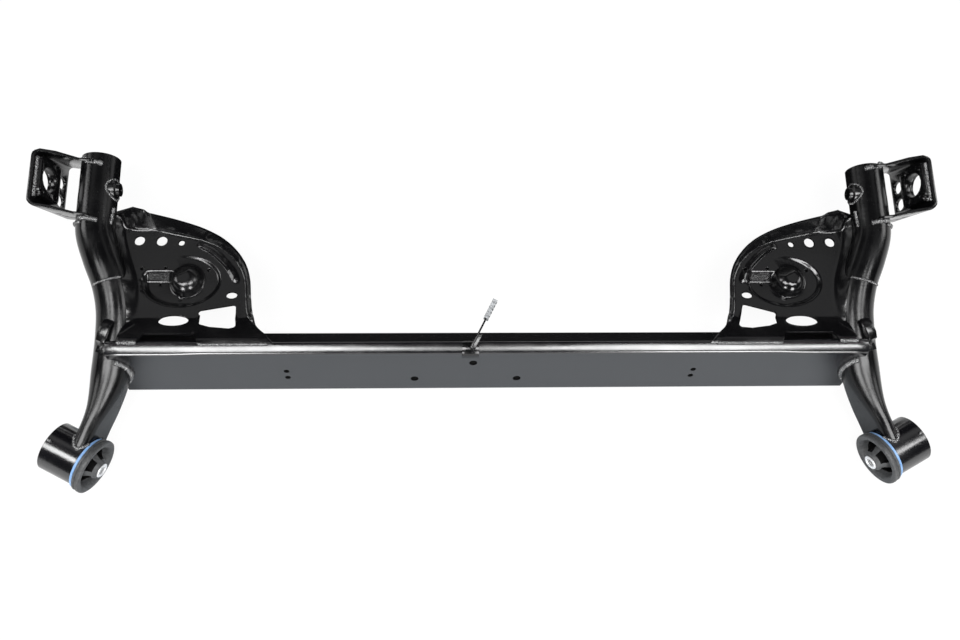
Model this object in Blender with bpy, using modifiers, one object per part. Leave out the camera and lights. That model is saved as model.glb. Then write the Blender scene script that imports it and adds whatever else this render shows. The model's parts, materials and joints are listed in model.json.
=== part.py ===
"""Twist beam rear axle: a pressed cross beam between two trailing arms.

Each arm is a bent steel tube. Its rear end carries the hub bracket and the shock absorber
boss, a pressed pan in the corner carries the coil spring, and its pinched front end is
welded to the sleeve of a rubber bush.

Metres. X runs across the car, Y to the rear and Z up from the floor. The right side is
modelled and the left side is its mirror image.
"""

import math

import bmesh
import bpy
from mathutils import Matrix, Vector

GAP = 0.0003                    # clearance between pieces that touch
ARM_X = 0.572                   # the rear, straight part of each arm's tube

# Cross beam: an inverted V, open downwards
BEAM_CROWN_Y = -0.038
BEAM_CROWN_Z = 0.097
BEAM_BOTTOM_Z = 0.010
BEAM_WALL = 0.005
BEAM_FLANK_DEG = 68.0
BEAM_CROWN_R = 0.0105           # outer radius of the crown at mid span
BEAM_END_CROWN_R = 0.0150       # the crown is blunter where it meets the arms
BEAM_FLARE_FROM_X = 0.400
BEAM_FLARE_TO_X = 0.455
BEAM_END_TOP_X = ARM_X - 0.0335
BEAM_END_BOTTOM_X = ARM_X - 0.0430
BEAM_ARC_STEPS = 5

# Round holes in the front flank: X, depth below the crown along the slope, diameter
BEAM_HOLES = [
    (-0.296, 0.052, 0.0080), (-0.296, 0.068, 0.0080),
    (0.2925, 0.0520, 0.0080), (0.2920, 0.068, 0.0080),
    (-0.030, 0.033, 0.0115), (-0.114, 0.073, 0.0115), (0.035, 0.073, 0.0115),
]

# Trailing arms: points on the tube's axis from the open rear end to the bush
ARM_OD = 0.054
ARM_WALL = 0.0035
ARM_REAR_Y = 0.2405
ARM_REAR_EXTRA_LEFT = 0.0085     # the left tube stands out further behind its bracket
ARM_REAR_Z = 0.083
ARM_AXIS = [
    (ARM_X, ARM_REAR_Y, ARM_REAR_Z), (ARM_X, 0.205, ARM_REAR_Z), (ARM_X, 0.170, ARM_REAR_Z),
    (ARM_X - 0.0015, 0.135, 0.0825), (ARM_X - 0.013, 0.099, 0.079),
    (ARM_X - 0.0265, 0.064, 0.073), (ARM_X - 0.034, 0.028, 0.067),
    (ARM_X - 0.035, -0.008, 0.062), (ARM_X - 0.033, -0.044, 0.057),
    (ARM_X - 0.029, -0.080, 0.052), (ARM_X - 0.0215, -0.115, 0.047),
    (ARM_X - 0.009, -0.148, 0.042),
]
ARM_WELD_INDEX = 5              # the axis point at which the two tube lengths are welded
ARM_SIDES = 18
ARM_STEPS = 2                   # rings between one axis point and the next
PINCH_FROM_Y = -0.058
PINCH_TO_Y = -0.142
PINCH_WIDTH = 0.024
PINCH_HEIGHT = 0.066
ARM_LEAD = 0.060                # how far the coping solid runs on behind the tube

# Front bush, on a level axis that points inwards and forwards
BUSH_OUTER_X = ARM_X + 0.043    # centre of the sleeve's outer end
BUSH_OUTER_Y = -0.1635
BUSH_TURN_DEG = 27.5
SLEEVE_OD = 0.0694
SLEEVE_WALL = 0.0032
SLEEVE_LENGTH = 0.052
COLLAR_OD = 0.0740
COLLAR_WIDTH = 0.0042
COLLAR_CLEARANCE = 0.002        # the arm's end is trimmed this far from the collar
SHELL_WALL = 0.0018
FLANGE_OD = 0.0792
FLANGE_WIDTH = 0.0115
INNER_OD = 0.0208
INNER_BORE = 0.0128
INNER_PROUD = 0.0095            # how far the inner sleeve stands out of the rubber flange
INNER_PROUD_BACK = 0.006
VOID_INNER_R = 0.0168
VOID_OUTER_R = 0.0250
VOID_HALF_DEG = 48.0
TRIM_LENGTH = 0.200             # length of the solids that cope and drill along the bush
TURN_STEPS = 24

# Hub bracket: a channel pressed from plate, open towards the tube
BRACKET_TOP_Z = 0.128
BRACKET_BOTTOM_Z = 0.038
BRACKET_TOP_X = ARM_X + 0.081   # outer face of the web at its top edge
BRACKET_FRONT_Y = 0.1605        # outer face of the front flange at its top edge
BRACKET_REAR_Y = 0.2475
BRACKET_PLATE = 0.0045
BRACKET_BEND_R = 0.011
BRACKET_LEAN_DEG = 8.0          # the web leans inwards towards the bottom
BRACKET_RAKE_DEG = 9.0          # and the channel runs rearwards towards the bottom
BRACKET_SKEW = 0.17             # the flanges run forwards towards the tube
BRACKET_TOP_RUN = 0.033         # level part of the flange's top edge
BRACKET_FOOT_RUN = 0.020
BRACKET_FOOT_RISE = 0.004
BRACKET_MARGIN = 0.030          # how far the hollow's tool stands out above and below
FLANGE_SLOT = (0.0105, 0.0032)
FLANGE_SLOT_AT = [(ARM_X + 0.051, 0.088), (ARM_X + 0.048, 0.074)]
HUB_HOLE_D = 0.037
HUB_HOLE_DROP = 0.029           # below the bracket's top edge
HUB_BOLT_D = 0.0105
HUB_BOLT_SPACING_Y = 0.0460
HUB_BOLT_SPACING_Z = 0.032
WEB_HOLE_D = 0.0190
WEB_HOLE_DROP = 0.0755
WEB_HOLE_SPACING = 0.028
WEB_HOLE_SHIFT = -0.0055
HUB_PLATE_T = 0.0095
HUB_PLATE_TOP_DROP = 0.0045
HUB_PLATE_BOTTOM_DROP = 0.0555
HUB_PLATE_WIDTH = 0.0600
HUB_PLATE_CORNER_R = 0.009
WEB_DRILL_LENGTH = 0.040
HOLE_SIDES = 16

# Shock absorber boss on the inner side of the tube
BOSS_Y = 0.199
BOSS_Z = 0.089
BOSS_OD = 0.028
BOSS_TIP_OD = 0.0190
BOSS_BORE = 0.0105
BOSS_PROUD = 0.0065             # from the tube's side to the boss's face
BOSS_SHOULDER = 0.0045
BOSS_CHAMFER = 0.0015
BOSS_ROOT = 0.012               # the boss's root lies this far short of the tube's axis

# Spring pan: pressed sheet, sloping down to the rear
PAN_T = 0.003
PAN_FOLD_Y = 0.008
PAN_FOLD_Z = 0.0843
PAN_SLOPE = 0.14
PAN_RISE_SLOPE = 0.47
PAN_RIM_Z = 0.091
SEAT_X = 0.440
SEAT_Y = 0.067
SEAT_DOME_R = 0.0245
SEAT_DOME_RISE = 0.0150
SEAT_OUTER_A = 0.0555           # half widths of the seat's outer edge, along X and Y
SEAT_OUTER_B = 0.0430
SEAT_WALL_RUN = 0.0050
SEAT_DEPTH = 0.0115             # at the coil's end stop
SEAT_RAMP_DEG = 300.0

# Pan outline in plan, right side: the curved edge with its upright flange
PAN_EDGE = [
    (0.5200, 0.1680), (0.4890, 0.1595), (0.4530, 0.1500), (0.4155, 0.1370), (0.3840, 0.1190),
    (0.3610, 0.0940), (0.3500, 0.0680), (0.3465, 0.0380), (0.3430, 0.0140), (0.3345, -0.0050),
    (0.3200, -0.0190),
]
PAN_EDGE_STEPS = 2
PAN_TONGUE_X = (0.307, 0.412)
PAN_TONGUE_Y = -0.034
PAN_NOTCH_Y = -0.017
PAN_CORNER_RUN = 0.0055         # the notch's corners lean in by this much
PAN_HEEL_SHORT = 0.051          # the heel ends this far short of the tube's rear axis
PAN_HEEL_WIDTH = 0.0245
PAN_HEEL_Y = -0.030
PAN_HEEL_SIDE = 0.014
PAN_SIDE_Y = (0.002, 0.168)     # where the side along the tube starts and ends
PAN_SIDE_POINTS = 9
PAN_SIDE_RISE = 0.010
PAN_SIDE_DROP = 0.019           # the side stays this far above the tube's axis
PAN_ARM_OVERLAP = 0.020         # the pan's side starts this far short of the tube's axis
PAN_FLANGE_RUN = 0.0065
PAN_ARM_RUN = 0.016
PAN_TAB_X = 0.5120
PAN_TAB_HALF = 0.022
PAN_TAB_RISE = 0.010
PAN_TAB_RUN = 0.012
PAN_FOOT_Y = (0.018, -0.019)    # the upright flange dies out between these
PAN_PUNCH_LENGTH = 0.120

# Pan holes: X, Y, size along X, size along Y
PAN_ROUND_HOLES = [(0.513, 0.1295, 0.0150), (0.481, 0.129, 0.0155), (0.4525, 0.126, 0.0088)]
PAN_SLOT = (0.3735, 0.043, 0.0155, 0.0100)
PAN_EYE_LEFT = (0.4510, 0.0040, 0.0420, 0.0165)
PAN_EYE_RIGHT = (0.4480, 0.0020, 0.0470, 0.0175)
PAN_WINDOW_LEFT = [
    (0.4180, 0.0135), (0.3665, 0.0280), (0.3615, -0.0060), (0.3845, -0.0095), (0.4105, -0.0045),
]
PAN_WINDOW_RIGHT = [
    (0.4180, 0.0135), (0.3655, 0.0280), (0.3530, -0.0075), (0.3800, -0.0110), (0.4110, -0.0065),
]
PAN_WINDOW_R = 0.004

# Cable hook on top of each arm, over the end of the beam
HOOK_T = 0.0025
HOOK_WIDTH = 0.0125
HOOK_X = ARM_X - 0.0235
HOOK_TURN_DEG = 20.0
HOOK_TUBE_Z = 0.0575            # the tube's axis under the hook's foot
HOOK_PROFILE = [                # Y, and height above the tube's top at the foot
    (-0.0420, 0.0), (-0.0320, 0.0017), (-0.0290, 0.0055), (-0.0270, 0.0155),
    (-0.0190, 0.0205), (-0.0060, 0.0215), (0.0040, 0.0175),
]

# Line guide at mid span: a saddle on the crown, an upright strip and a clip
GUIDE_X = -0.0345
GUIDE_FOOT_WIDTH = 0.024
GUIDE_FOOT_T = 0.0022
GUIDE_FOOT_LEG = 0.0075
GUIDE_STRIP_T = 0.0018
GUIDE_STRIP_HEIGHT = 0.013
GUIDE_STRIP_LENGTH = 0.047
GUIDE_TURN_DEG = 27.0
GUIDE_CLIP_LENGTH = 0.030
GUIDE_CLIP_WIDTH = 0.0068
GUIDE_CLIP_HEIGHT = 0.014
GUIDE_CLIP_RIBS = 5

# Worked out from the sizes above
BUSH_TURN = math.radians(BUSH_TURN_DEG)
BUSH_Z = FLANGE_OD / 2
FLANGE_FACE = SLEEVE_LENGTH + GAP + COLLAR_WIDTH + GAP + FLANGE_WIDTH
BOSS_FACE_X = ARM_X - ARM_OD / 2 - BOSS_PROUD
BOSS_ROOT_X = ARM_X - BOSS_ROOT
PAN_HEEL_END_X = ARM_X - PAN_HEEL_SHORT
BUSH_AXIS = Vector((-math.cos(BUSH_TURN), -math.sin(BUSH_TURN), 0.0))
FLANK = math.radians(BEAM_FLANK_DEG)
LEAN = math.tan(math.radians(BRACKET_LEAN_DEG))
RAKE = math.tan(math.radians(BRACKET_RAKE_DEG))
HUB_Y = (BRACKET_FRONT_Y + BRACKET_REAR_Y) / 2

BLACK = (0.012, 0.012, 0.013, 1.0)


def clear_scene():
    for obj in list(bpy.data.objects):
        bpy.data.objects.remove(obj)


def make_collection(name):
    collection = bpy.data.collections.new(name)
    bpy.context.scene.collection.children.link(collection)
    return collection


def make_material(name, colour, roughness, metallic):
    material = bpy.data.materials.new(name)
    material.use_nodes = True
    shader = material.node_tree.nodes["Principled BSDF"]
    shader.inputs["Base Color"].default_value = colour
    shader.inputs["Roughness"].default_value = roughness
    shader.inputs["Metallic"].default_value = metallic
    return material


def object_from_bmesh(name, mesh_data, collection):
    """Turn a bmesh into an object, with its faces pointing out."""
    bmesh.ops.recalc_face_normals(mesh_data, faces=mesh_data.faces)
    mesh = bpy.data.meshes.new(name)
    mesh_data.to_mesh(mesh)
    mesh_data.free()
    obj = bpy.data.objects.new(name, mesh)
    collection.objects.link(obj)
    return obj


def settle(obj):
    """Replace an object's mesh or curve by its evaluated, welded mesh, in its parent's frame."""
    bpy.context.view_layer.update()
    graph = bpy.context.evaluated_depsgraph_get()
    mesh = bpy.data.meshes.new_from_object(obj.evaluated_get(graph))
    mesh.transform(obj.matrix_world)
    work = bmesh.new()
    work.from_mesh(mesh)
    bmesh.ops.remove_doubles(work, verts=work.verts, dist=1e-6)
    bmesh.ops.dissolve_degenerate(work, edges=work.edges, dist=1e-6)
    bpy.data.meshes.remove(mesh)
    name = obj.name
    collection = obj.users_collection[0]
    bpy.data.objects.remove(obj)
    return object_from_bmesh(name, work, collection)


def cut(obj, *tools):
    for tool in tools:
        modifier = obj.modifiers.new("cut " + tool.name, "BOOLEAN")
        modifier.operation = "DIFFERENCE"
        modifier.solver = "EXACT"
        modifier.object = tool
    return settle(obj)


def hide_tool(obj):
    obj.hide_render = True
    obj.display_type = "WIRE"
    return obj


def loft(name, rings, collection, inner=None):
    """Skin a row of closed rings, capped at both ends, or left as a tube with an inner skin."""
    work = bmesh.new()

    def skin(rows):
        loops = [[work.verts.new(point) for point in row] for row in rows]
        for near, far in zip(loops, loops[1:]):
            for i in range(len(near)):
                j = (i + 1) % len(near)
                work.faces.new((near[i], near[j], far[j], far[i]))
        return loops

    outer_loops = skin(rings)
    if inner is None:
        work.faces.new(outer_loops[0])
        work.faces.new(outer_loops[-1])
    else:
        inner_loops = skin(inner)
        for end in (0, -1):
            out, into = outer_loops[end], inner_loops[end]
            for i in range(len(out)):
                j = (i + 1) % len(out)
                work.faces.new((out[i], out[j], into[j], into[i]))
    return object_from_bmesh(name, work, collection)


def lathe(name, profile, collection, matrix):
    """Turn a closed profile of (radius, distance along the axis) once round the axis."""
    mesh = bpy.data.meshes.new(name)
    points = [(radius, 0.0, along) for radius, along in profile]
    edges = [(i, (i + 1) % len(points)) for i in range(len(points))]
    mesh.from_pydata(points, edges, [])
    obj = bpy.data.objects.new(name, mesh)
    collection.objects.link(obj)
    screw = obj.modifiers.new("turn", "SCREW")
    screw.axis = "Z"
    screw.steps = TURN_STEPS
    screw.render_steps = TURN_STEPS
    screw.use_merge_vertices = True
    screw.merge_threshold = 1e-6
    obj.matrix_world = matrix
    return settle(obj)


def rod(name, diameter, length, collection, matrix, sides=24):
    """A solid cylinder along the matrix's Z, centred on its origin."""
    work = bmesh.new()
    bmesh.ops.create_cone(
        work, cap_ends=True, segments=sides, radius1=diameter / 2, radius2=diameter / 2,
        depth=length, matrix=matrix)
    return object_from_bmesh(name, work, collection)


def slab(name, outline, thickness, collection, matrix):
    """A flat outline in the matrix's XY plane, given a thickness centred on that plane."""
    curve = bpy.data.curves.new(name, "CURVE")
    curve.dimensions = "2D"
    curve.fill_mode = "BOTH"
    curve.extrude = thickness / 2
    spline = curve.splines.new("POLY")
    spline.points.add(len(outline) - 1)
    for point, (x, y) in zip(spline.points, outline):
        point.co = (x, y, 0.0, 1.0)
    spline.use_cyclic_u = True
    obj = bpy.data.objects.new(name, curve)
    collection.objects.link(obj)
    obj.matrix_world = matrix
    return settle(obj)


def axis_matrix(origin, along, side):
    """A frame with Z along the given direction and X as near to side as it can be."""
    z = Vector(along).normalized()
    y = z.cross(Vector(side)).normalized()
    x = y.cross(z)
    frame = Matrix((x, y, z)).transposed().to_4x4()
    frame.translation = Vector(origin)
    return frame


def catmull(points, steps):
    """Points on a smooth curve through the given ones, with steps spans between neighbours."""
    vectors = [Vector(point) for point in points]
    first = 2 * vectors[0] - vectors[1]
    last = 2 * vectors[-1] - vectors[-2]
    padded = [first] + vectors + [last]
    result = []
    for a, b, c, d in zip(padded, padded[1:], padded[2:], padded[3:]):
        for k in range(steps):
            t = k / steps
            result.append(0.5 * (2 * b + (c - a) * t + (2 * a - 5 * b + 4 * c - d) * t * t
                                 + (3 * b - 3 * c + d - a) * t ** 3))
    result.append(vectors[-1])
    return result


def ease(value, start, end):
    """0 before start, 1 after end and smooth between."""
    t = min(1.0, max(0.0, (value - start) / (end - start)))
    return t * t * (3 - 2 * t)


def rounded(corners, radius, steps=4):
    """An outline with each corner rounded."""
    result = []
    count = len(corners)
    for i, corner in enumerate(corners):
        here = Vector(corner)
        before = (Vector(corners[i - 1]) - here).normalized()
        after = (Vector(corners[(i + 1) % count]) - here).normalized()
        half = before.angle(after) / 2
        reach = radius / math.tan(half)
        centre = here + (before + after).normalized() * radius / math.sin(half)
        start = (here + before * reach) - centre
        end = (here + after * reach) - centre
        for k in range(steps + 1):
            arm = start.lerp(end, k / steps).normalized() * radius
            result.append(tuple(centre + arm))
    return result


def ellipse(x, y, size_x, size_y, steps=20):
    turns = [2 * math.pi * k / steps for k in range(steps)]
    return [(x + size_x / 2 * math.cos(a), y + size_y / 2 * math.sin(a)) for a in turns]


# Trailing arms

def arm_rings(points, offset):
    """Sections of the arm along its axis, round at the rear and pinched upright at the front."""
    rings = []
    for i, point in enumerate(points):
        before = points[max(i - 1, 0)]
        after = points[min(i + 1, len(points) - 1)]
        along = (after - before).normalized()
        side = along.cross(Vector((0, 0, 1))).normalized()
        up = side.cross(along)
        pinch = ease(-point.y, -PINCH_FROM_Y, -PINCH_TO_Y)
        width = ARM_OD + (PINCH_WIDTH - ARM_OD) * pinch + 2 * offset
        height = ARM_OD + (PINCH_HEIGHT - ARM_OD) * pinch + 2 * offset
        straight = (height - width) / 2
        ring = []
        for k in range(ARM_SIDES):
            a = 2 * math.pi * (k + 0.5) / ARM_SIDES
            rise = width / 2 * math.sin(a) + math.copysign(straight, math.sin(a))
            ring.append(point + side * (width / 2 * math.cos(a)) + up * rise)
        rings.append(ring)
    return rings


def arm_points(extra=0.0):
    """The tube's axis, carried on to the axis of the bush, with an extra length at the rear."""
    end = Vector(ARM_AXIS[-1])
    run = (end - Vector(ARM_AXIS[-2])).normalized()
    run.z = 0.0
    run.normalize()
    origin = Vector((BUSH_OUTER_X, BUSH_OUTER_Y, BUSH_Z))
    across = Vector((-BUSH_AXIS.y, BUSH_AXIS.x, 0.0))
    distance = (origin - end).dot(across) / run.dot(across)
    target = end + run * distance
    target.z = BUSH_Z
    points = catmull(ARM_AXIS + [tuple(target)], ARM_STEPS)
    points[0] = points[0] + Vector((0, extra, 0))
    return points


def arm_x_z(y):
    """The tube's axis at a station along the car."""
    points = arm_points()
    for a, b in zip(points, points[1:]):
        if b.y <= y <= a.y:
            t = (a.y - y) / (a.y - b.y)
            return a.x + (b.x - a.x) * t, a.z + (b.z - a.z) * t
    return points[0].x, points[0].z


def arm_envelope(tools):
    """The arm as a solid, a clearance larger, for the pieces that are coped to it."""
    points = arm_points()
    lead = points[0] + Vector((0, ARM_LEAD, 0))
    return hide_tool(loft("arm_envelope", arm_rings([lead] + points, GAP), tools))


def bush_frame(along):
    origin = Vector((BUSH_OUTER_X, BUSH_OUTER_Y, BUSH_Z)) + BUSH_AXIS * along
    return axis_matrix(origin, BUSH_AXIS, (0, 0, 1))


def arm_length(name, first, last, back, collection, extra=0.0):
    """The part of the arm between two axis points, its far end set back by a clearance."""
    points = arm_points(extra)
    skins = []
    for offset in (0, -ARM_WALL):
        rings = arm_rings(points, offset)[first:last]
        along = (points[last - 1] - points[last - 2]).normalized()
        rings[-1] = [spot - along * back for spot in rings[-1]]
        skins.append(rings)
    return loft(name, skins[0], collection, skins[1])


def make_arm_rear(name, parts, extra=0.0):
    return arm_length(name, 0, ARM_WELD_INDEX * ARM_STEPS + 1, GAP, parts, extra)


def make_arm_front(parts, tools):
    arm = arm_length("arm_front_right", ARM_WELD_INDEX * ARM_STEPS, len(arm_points()), 0, parts)
    sleeve = hide_tool(rod("sleeve_envelope", SLEEVE_OD + 2 * GAP, TRIM_LENGTH, tools,
                           bush_frame(SLEEVE_LENGTH / 2), TURN_STEPS))
    collar_at = SLEEVE_LENGTH - COLLAR_CLEARANCE + TRIM_LENGTH / 2
    collar = hide_tool(rod("collar_envelope", COLLAR_OD + 2 * COLLAR_CLEARANCE, TRIM_LENGTH, tools,
                           bush_frame(collar_at), TURN_STEPS))
    return cut(arm, sleeve, collar)


# Cross beam

def section_half_width(crown_r):
    """Half the outer width of the V at its bottom, for a crown radius."""
    straight = BEAM_CROWN_Z - crown_r * (1 - math.cos(FLANK)) - BEAM_BOTTOM_Z
    return crown_r * math.sin(FLANK) + straight / math.tan(FLANK)


def beam_section(crown_r, grow=0.0, filled=False):
    """The V section as (Y, Z) points: up the rear flank, over the crown and down the front.

    Where the crown is blunter, the section is narrowed to keep its width at the bottom.
    """
    bottom = BEAM_BOTTOM_Z - (0.02 if filled else 0.0)
    narrow = section_half_width(BEAM_CROWN_R) / section_half_width(crown_r)

    def side(radius, top):
        centre_z = top - radius
        arc = []
        for k in range(BEAM_ARC_STEPS + 1):
            a = FLANK * k / BEAM_ARC_STEPS
            arc.append((radius * math.sin(a), centre_z + radius * math.cos(a)))
        y, z = arc[-1]
        arc.append((y + (z - bottom) / math.tan(FLANK), bottom))
        return arc

    outer = [(y * narrow, z) for y, z in side(crown_r + grow, BEAM_CROWN_Z + grow)]
    outline = [(BEAM_CROWN_Y + y, z) for y, z in reversed(outer)]
    outline += [(BEAM_CROWN_Y - y, z) for y, z in outer[1:]]
    if not filled:
        inner = [(y * narrow, z) for y, z in side(crown_r - BEAM_WALL, BEAM_CROWN_Z - BEAM_WALL)]
        outline += [(BEAM_CROWN_Y - y, z) for y, z in reversed(inner)]
        outline += [(BEAM_CROWN_Y + y, z) for y, z in inner[1:]]
    return outline


def beam_rings(grow=0.0, filled=False):
    half = []
    for x, flare, slant in ((0.0, 0, 0), (BEAM_FLARE_FROM_X, 0, 0),
                            ((BEAM_FLARE_FROM_X + BEAM_FLARE_TO_X) / 2, 0.5, 0),
                            (BEAM_FLARE_TO_X, 1, 0), (BEAM_END_TOP_X, 1, 1)):
        crown_r = BEAM_CROWN_R + (BEAM_END_CROWN_R - BEAM_CROWN_R) * flare
        lean = (BEAM_END_TOP_X - BEAM_END_BOTTOM_X) / (BEAM_CROWN_Z - BEAM_BOTTOM_Z)
        half.append([(x - slant * lean * (BEAM_CROWN_Z - z), y, z)
                     for y, z in beam_section(crown_r, grow, filled)])
    mirror = [[(-x, y, z) for x, y, z in ring] for ring in half[:0:-1]]
    return mirror + half


def flank_point(x, depth):
    """A point on the front flank's outer face, at a depth down the slope from the crown line."""
    arc = BEAM_CROWN_R * FLANK
    run = depth - arc
    y = BEAM_CROWN_Y - BEAM_CROWN_R * math.sin(FLANK) - run * math.cos(FLANK)
    z = BEAM_CROWN_Z - BEAM_CROWN_R * (1 - math.cos(FLANK)) - run * math.sin(FLANK)
    return Vector((x, y, z))


def make_beam(parts, tools, envelope):
    beam = loft("cross_beam", beam_rings(), parts)
    outward = Vector((0, -math.sin(FLANK), math.cos(FLANK)))
    drills = []
    for i, (x, depth, diameter) in enumerate(BEAM_HOLES):
        frame = axis_matrix(flank_point(x, depth), outward, (1, 0, 0))
        drills.append(hide_tool(rod(f"beam_drill_{i}", diameter, BEAM_WALL * 4, tools, frame, 16)))
    other = mirrored(envelope, "arm_envelope_left", tools)
    return cut(beam, *drills, envelope, hide_tool(other))


# Hub bracket

def web_x(z):
    """The outer face of the web at a height."""
    return BRACKET_TOP_X - LEAN * (BRACKET_TOP_Z - z)


def bracket_block(name, front, rear, outer_inset, corner_r, collection, outline):
    """A solid with the bracket's side outline, raked, with its two upright outer edges rounded."""
    frame = axis_matrix((0, (front + rear) / 2, 0), (0, -1, 0), (1, 0, 0))
    block = slab(name, outline, rear - front, collection, frame)
    work = bmesh.new()
    work.from_mesh(block.data)
    corners = []
    for edge in work.edges:
        on_web = all(abs(v.co.x - (web_x(v.co.z) - outer_inset)) < 1e-4 for v in edge.verts)
        spans = abs(edge.verts[0].co.z - edge.verts[1].co.z) > corner_r
        if on_web and spans:
            corners.append(edge)
    bmesh.ops.bevel(work, geom=corners, offset=corner_r, segments=4, profile=0.5,
                    affect="EDGES")
    for vertex in work.verts:
        vertex.co.y += RAKE * (BRACKET_TOP_Z - vertex.co.z)
        vertex.co.y -= BRACKET_SKEW * (web_x(vertex.co.z) - vertex.co.x)
    bmesh.ops.recalc_face_normals(work, faces=work.faces)
    work.to_mesh(block.data)
    work.free()
    return block


def make_bracket(parts, tools, envelope):
    tube_r = ARM_OD / 2
    top, bottom = BRACKET_TOP_Z, BRACKET_BOTTOM_Z
    outline = [
        (web_x(bottom), bottom), (web_x(top), top), (BRACKET_TOP_X - BRACKET_TOP_RUN, top),
        (ARM_X + tube_r * 0.90, ARM_REAR_Z + tube_r * 0.86),
        (ARM_X + tube_r * 0.25, ARM_REAR_Z + tube_r * 1.16), (ARM_X, ARM_REAR_Z + tube_r * 1.14),
        (ARM_X, ARM_REAR_Z), (ARM_X + tube_r * 0.5, ARM_REAR_Z - tube_r * 0.80),
        (ARM_X + tube_r * 1.20, ARM_REAR_Z - tube_r * 1.00),
        (web_x(bottom) - BRACKET_FOOT_RUN, bottom + BRACKET_FOOT_RISE),
    ]
    bracket = bracket_block("hub_bracket_right", BRACKET_FRONT_Y, BRACKET_REAR_Y, 0.0,
                            BRACKET_BEND_R, parts, outline)
    plate = BRACKET_PLATE
    inner_low, inner_high = bottom - BRACKET_MARGIN, top + BRACKET_MARGIN
    inner = [(web_x(inner_low) - plate, inner_low), (web_x(inner_high) - plate, inner_high),
             (ARM_X - ARM_OD, inner_high), (ARM_X - ARM_OD, inner_low)]
    hollow = bracket_block("bracket_hollow", BRACKET_FRONT_Y + plate, BRACKET_REAR_Y - plate,
                           plate, BRACKET_BEND_R - plate, tools, inner)
    bracket = cut(bracket, hide_tool(hollow), envelope)
    slots = []
    for i, (x, z) in enumerate(FLANGE_SLOT_AT):
        frame = axis_matrix((x, BRACKET_FRONT_Y, z), (0, -1, 0), (1, 0, 0))
        slot = slab(f"flange_slot_{i}", ellipse(0, 0, *FLANGE_SLOT, 12), WEB_DRILL_LENGTH, tools,
                    frame)
        slots.append(hide_tool(slot))
    return cut(bracket, *web_drills(tools), *slots)


def web_frame(y, drop):
    """A frame on the web's outer face, Z pointing outwards, at a drop below the top edge."""
    z = BRACKET_TOP_Z - drop
    outward = Vector((1.0, 0.0, -LEAN))
    return axis_matrix((web_x(z), y + RAKE * drop, z), outward, (0, 1, 0))


def hub_drill_spots():
    """Y, drop and diameter of the hub hole and its bolt holes."""
    spots = [(HUB_Y, HUB_HOLE_DROP, HUB_HOLE_D)]
    for dy in (-0.5, 0.5):
        for dz in (-0.5, 0.5):
            spots.append((HUB_Y + dy * HUB_BOLT_SPACING_Y,
                          HUB_HOLE_DROP + dz * HUB_BOLT_SPACING_Z, HUB_BOLT_D))
    return spots


def web_drills(tools):
    spots = hub_drill_spots()
    for side in (-0.5, 0.5):
        spots.append((HUB_Y + WEB_HOLE_SHIFT + side * WEB_HOLE_SPACING, WEB_HOLE_DROP,
                      WEB_HOLE_D))
    return [drill(f"web_drill_{i}", spot, tools) for i, spot in enumerate(spots)]


def drill(name, spot, tools):
    """A drill square to the web at a (Y, drop, diameter) spot."""
    y, drop, diameter = spot
    frame = web_frame(y, drop)
    return hide_tool(rod(name, diameter, WEB_DRILL_LENGTH, tools, frame, HOLE_SIDES))


def make_hub_plate(parts, tools):
    low, high = HUB_PLATE_BOTTOM_DROP, HUB_PLATE_TOP_DROP
    middle = (low + high) / 2
    half_y, half_z = HUB_PLATE_WIDTH / 2, (low - high) / 2
    outline = rounded([(-half_y, -half_z), (half_y, -half_z), (half_y, half_z),
                       (-half_y, half_z)], HUB_PLATE_CORNER_R)
    frame = web_frame(HUB_Y, middle)
    frame = frame @ Matrix.Translation((0, 0, -BRACKET_PLATE - GAP - HUB_PLATE_T / 2))
    plate = slab("hub_plate_right", outline, HUB_PLATE_T, parts, frame)
    drills = [drill(f"hub_drill_{i}", spot, tools) for i, spot in enumerate(hub_drill_spots())]
    return cut(plate, *drills)


def make_boss(parts, tools, envelope):
    outer, tip, bore = BOSS_OD / 2, BOSS_TIP_OD / 2, BOSS_BORE / 2
    reach = BOSS_ROOT_X - BOSS_FACE_X
    step = reach - BOSS_SHOULDER
    profile = [(bore, reach), (tip, reach), (tip, step), (outer, step - BOSS_CHAMFER), (outer, 0.0),
               (bore, 0.0)]
    frame = axis_matrix((BOSS_ROOT_X, BOSS_Y, BOSS_Z), (-1, 0, 0), (0, 0, 1))
    boss = lathe("shock_boss_right", profile, parts, frame)
    return cut(boss, envelope)


# Front bush

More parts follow.
